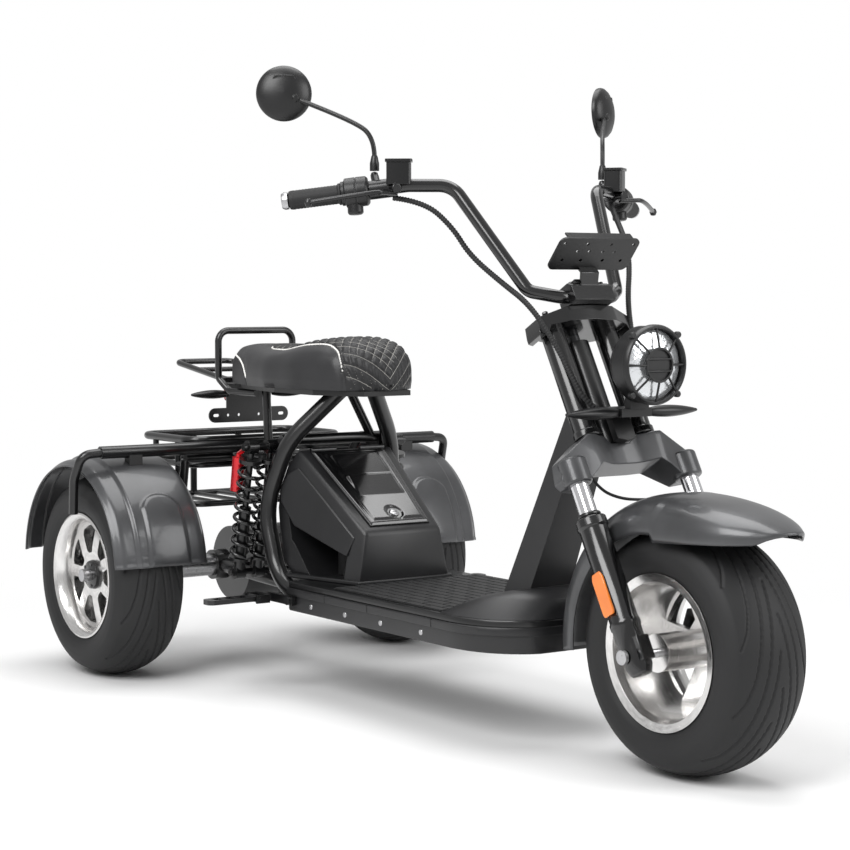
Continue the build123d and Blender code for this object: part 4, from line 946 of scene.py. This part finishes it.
def deck_forms():
    """Deck, its skirt with screws and seams, the brick-pattern mat, and the neck with the toe board."""
    deck = Shape().rings([[(x, y, z) for x, y in deck_outline(inset)] for z, inset in
                          ((231, 0), (239, 0), (241.6, 1.2), (243, 4))])
    deck.make("deck_plate", "frame", "frame_black", "deck")
    skirt = Shape()
    rows = [(180, 5), (181, 2), (185, 0), (213, 0), (214, -4), (216, -5), (228, -5), (230.6, -3)]
    skirt.rings([[(x, y, z) for x, y in deck_outline(inset)] for z, inset in rows], close=False)
    skirt.make("deck_sides", "frame", "box_grey", "deck_skirt", thick=3.0)
    screws = Shape()
    for x in (-560, -700, -830, -960):
        for y in (-1, 1):
            screws.lathe([(0, 197.6), (5, 197.2), (6.5, 195)], (FRONT_X + x, 0, 198), (0, y, 0), 20)
    screws.make("skirt_screws", "frame", "brake_steel")
    seams = Shape()
    for x in (FRONT_X - 520, FRONT_X - 742, FRONT_X - 900):
        for y in (-1, 1):
            seams.block(x - 0.8, x + 0.8, y * 199, y * 201.4, 214.5, 230)
    seams.make("skirt_seams", "frame", "tyre_rubber")

    mat = Shape()
    first, last = REAR_X + 612, FRONT_X - 506
    mat.block(first, last, -MAT_HALF, MAT_HALF, DECK_TOP, 245)
    for i in range(-7, 8):
        mid, start = i * BRICK_ROW, first + (0 if i % 2 else BRICK / 2)
        for k in range(int((last - first) / BRICK) + 1):
            x0, x1 = max(start + (k - 1) * BRICK, first + 3) + 2, min(start + k * BRICK, last - 3) - 2
            if x1 - x0 > 8:
                mat.block(x0, x1, max(mid - 10.5, 1 - MAT_HALF), min(mid + 10.5, MAT_HALF - 1), 245, 247)
    mat.make("tread_mat", "frame", "mat_rubber", "deck_mat", bevel=0.7)

    neck = Shape()
    outline = [(-310, 640), (-400, 452), (-484, 277), (-488, DECK_TOP), (-412, DECK_TOP), (-408, 277), (-336, 442),
               (-262, 610), (-262, 640)]
    neck.rings([[(FRONT_X + x, side * (33 + 19 * (640 - z) / 397), z) for x, z in outline] for side in (-1, 1)])
    toe = []
    for x, z in TOE_BOARD:
        half = deck_half(FRONT_X + x) - 4
        rise = z - DECK_TOP
        flank = [(half, DECK_TOP), (half - 6 - rise * 0.8, z - rise * 0.25), (half - 20 - rise, z)]
        toe.append([at_front(x, -y, h) for y, h in flank] + [at_front(x, y, h) for y, h in reversed(flank)])
    neck.rings(toe)
    neck.make("neck_casing", "frame", "box_grey", "neck_cover", bevel=7)


POCKETS, HUB_BOLTS = 7, 5


def rear_rim(side, name):
    """Wide rim with its pockets between flat polished spokes, bolted to a dark hub."""
    at, axis = Vector((REAR_X, side * HALF_TRACK, HUB_Z)), Vector((0, side, 0))
    barrel = [(139.7, -76), (140, -71), (131.7, -67.5), (131.7, 67.5), (140, 71), (139.7, 76), (136, 77),
              (129, 74), (124, 66), (118, 52), (117, -52), (125, -70), (130, -75), (139.7, -76)]
    face = Shape().lathe([(16, 26), (121, 26), (122, 42), (112, 40), (96, 44), (60, 47), (38, 44), (16, 44)],
                         at, axis, 96)
    body = face.make("rim_face_" + name)
    pockets = Shape()
    for k in range(POCKETS):
        base = 2 * pi * k / POCKETS
        shape = [(50, -7), (55, -12), (100, -18), (109, -15), (112, 0), (109, 15), (100, 18), (55, 12), (50, 7)]
        pockets.prism([(r * cos(base + radians(d)), r * sin(base + radians(d))) for r, d in shape],
                      lambda a, b, c: at + Vector((a, side * c, b)), 10, 70)
    cut(body, pockets.make("rim_pockets"))
    ease_edges(body, 1.6, 40)
    stand_for(body, "rear_wheel_" + name, "alloy", "rear_rim_" + name)
    Shape().lathe(barrel, at, axis, 96).make("rim_barrel_" + name, "rear_wheel_" + name, "alloy")
    dish = Shape().lathe([(15, 18), (118, 8), (118, 11), (15, 22)], at, axis, 64)
    dish.rod(at - axis * 62, at + axis * 40, 30, 40, 2)
    dish.lathe([(16, 44), (33, 44), (31, 52), (22, 55), (0, 56)], at, axis, 40)
    for c, s in turns(HUB_BOLTS):
        foot = at + Vector((25 * c, 0, 25 * s)) + axis * 50
        dish.rod(foot, foot + axis * 6, 4.5, 6, 0.8)
    dish.make("rim_centre_" + name, "rear_wheel_" + name, "fork_black")


# from the saddle's rear: half width and height of the crown, in millimetres from the rear axle and the floor
SEAT_PLAN = [(8, 0), (9, 40), (16, 66), (32, 90), (50, 102), (150, 126), (260, 144), (380, 140), (440, 122),
             (485, 103), (515, 80), (537, 50), (548, 22), (551, 0)]
SEAT_TOP = [(8, 722), (40, 737), (120, 739), (200, 738), (290, 742), (360, 755), (430, 761), (480, 754), (520, 734),
            (540, 708), (551, 672)]
# where the quilted panel and the dark tail panel end, as turn from the top, along the saddle from its rear
QUILT_REAR, TAIL_FRONT = 150, 160
QUILT_EDGE = [(QUILT_REAR, 0), (156, 0.22), (176, 0.42), (215, 0.56), (290, 0.66), (390, 0.66), (450, 0.72),
              (480, 0.92), (496, 1.25), (504, 1.6)]
TAIL_EDGE = [(8, 0.95), (50, 1.02), (90, 1.16), (130, 1.36), (TAIL_FRONT, 1.60)]
DIAMOND, LEAN = 25.0, 0.85         # pitch of the diamonds round the saddle, and their slope along it
TURN_MM = 95                       # about what a radian of turn covers on the skin


def nearest(values, wanted):
    """Place in an array of the value nearest to the wanted one."""
    return int(np.argmin(np.abs(values - wanted)))


def seat_forms():
    """Padded saddle: crowned top, rounded flanks, quilted panel that runs down the nose, piping and stitching."""
    rows, columns, low = 200, 181, 645.4
    xs = 8 + 543 * (0.5 - 0.5 * np.cos(np.linspace(0.03, pi, rows)))
    wide, top = np.interp(xs, *zip(*SEAT_PLAN)), np.interp(xs, *zip(*SEAT_TOP))
    kernel = np.hanning(15) / np.hanning(15).sum()
    wide, top = (np.convolve(np.pad(row, 7, "edge"), kernel, "valid") for row in (wide, top))
    wide = np.maximum(wide, 0.5)
    turn = np.linspace(-pi / 2, pi / 2, columns)
    x, v = np.meshgrid(xs, turn, indexing="ij")
    h, t = wide[:, None] - 4, top[:, None] - 4
    y = h * np.sign(v) * np.abs(np.sin(v)) ** 0.66
    z = low + (t - low) * np.abs(np.cos(v)) ** 0.46
    y *= 1 - 0.03 * smoothstep(low + 18 - z, 0, 18) - 0.05 * smoothstep(z, low + 50, low + 110)
    base = np.stack([REAR_X + x, y, z], -1)
    out = np.cross(np.gradient(base, axis=0), np.gradient(base, axis=1))
    out /= np.maximum(np.linalg.norm(out, axis=-1, keepdims=True), 1e-9)
    out *= np.where(out[rows // 2, columns // 2, 2] > 0, 1, -1)
    # distances over the surface: round the saddle from its middle, and along it
    steps = np.linalg.norm(np.diff(base, axis=1), axis=-1)
    ring = np.concatenate([np.zeros((rows, 1)), np.cumsum(steps, axis=1)], axis=1)
    ring -= ring[:, columns // 2, None]
    steps = np.linalg.norm(np.diff(base[:, columns // 2], axis=0), axis=-1)
    length = np.concatenate([[0], np.cumsum(steps)])[:, None]
    edge_at = np.interp(xs, *zip(*QUILT_EDGE), left=0.0)[:, None]
    tail_at = np.interp(xs, *zip(*TAIL_EDGE), right=9.0)[:, None]
    inside = (edge_at - np.abs(v)) * TURN_MM
    inside[xs < QUILT_REAR] = -50
    tail = (np.abs(v) - tail_at) * TURN_MM
    quilt = [np.abs(((ring + sign * LEAN * length) / DIAMOND + 0.5) % 1 - 0.5) for sign in (1, -1)]
    puff = 3.0 * smoothstep(np.minimum(*quilt), 0.0, 0.32) * smoothstep(inside, 1, 8)
    puff -= 2.2 * smoothstep(-np.abs(inside), -5, 0) + 2.0 * smoothstep(-np.abs(tail), -5, 0)
    puff += 2.6 * smoothstep(-inside, 4, 40) * smoothstep(-tail, 4, 40)
    creases = np.sin(x / 17 + 3 * np.sin(v * 2.1)) * np.sin(x / 41 + v * 5)
    puff += 0.5 * creases * smoothstep(-inside, 6, 30)
    shown = base + out * puff[..., None]
    shown[..., 2] = np.maximum(shown[..., 2], low)

    seat = Shape().add(shown.reshape(-1, 3), grid_faces(rows, columns))
    last = (rows - 1) * columns
    left, right = range(0, last + 1, columns), range(columns - 1, last + columns, columns)
    seat.faces += [tuple(range(columns)), tuple(range(last, last + columns)), (*left, *reversed(right))]
    pad = seat.make("saddle", "frame", "seat_leather", "seat", sharp=75)
    pad.data.materials.append(looks["quilted_black"])
    # the skin's faces come row by row; an end or the underside takes the look of the edge beside it
    for face in pad.data.polygons:
        i, j = nearest(xs, face.center.x / MM - REAR_X), 0
        if face.index < (rows - 1) * (columns - 1):
            i, j = divmod(face.index, columns - 1)
        if inside[i, j] > 0 or tail[i, j] > 0:
            face.material_index = 1

    def on_seat(i, turned, lift):
        """Point on row i of the saddle's skin at a turn from the top, raised by lift."""
        place = [np.interp(turned, turn, shown[i, :, k]) for k in range(3)]
        return Vector(place) + Vector(out[i, nearest(turn, turned)]) * lift

    pipe = Shape()
    for side in (-1, 1):
        for edge, wanted in ((edge_at, (xs > QUILT_REAR + 1) & (xs < 505)), (tail_at, xs < TAIL_FRONT)):
            line = [on_seat(i, side * min(edge[i, 0], pi / 2 - 0.03), 0.8) for i in range(0, rows, 3) if wanted[i]]
            pipe.tube(line, 2.3, 8, fine=3)
    pipe.make("seat_piping", "frame", "piping_white", sharp=80)

    thread = Shape()
    for sign in (1, -1):
        for k in range(-40, 41):
            line = []
            for i in range(0, rows - 3, 3):
                wanted = k * DIAMOND - sign * LEAN * length[i, 0]
                if xs[i] < QUILT_REAR + 3 or not ring[i, 0] < wanted < ring[i, -1]:
                    continue
                turned = float(np.interp(wanted, ring[i], turn))
                if abs(turned) < edge_at[i, 0] - 0.03:
                    line.append(on_seat(i, turned, 0.25))
            if len(line) > 3:
                thread.tube(line, 0.6, 5, fine=1)
    thread.make("seat_stitching", "frame", "thread_grey", sharp=80)


# The scene

set_camera()
looks = all_materials()
studio()
for part in frame["record"]["subparts"]:
    set_material(nodes[part["node"]], looks[part["material_slot"]])

make_tyre("front_tyre", "front_wheel", 0.178, Vector((FRONT_X, 0, HUB_Z)) * MM)
make_tyre("rear_tyre_left", "rear_wheel_left", 0.165, Vector((REAR_X, HALF_TRACK, HUB_Z)) * MM)
make_tyre("rear_tyre_right", "rear_wheel_right", 0.165, Vector((REAR_X, -HALF_TRACK, HUB_Z)) * MM)

front_fender()
fork_forms()
lamp_forms()
plate_and_clamp()
bar_forms()
held_cords()
rear_fender()
battery_forms()
deck_forms()
for hand, name in ((1, "left"), (-1, "right")):
    rear_rim(hand, name)
seat_forms()
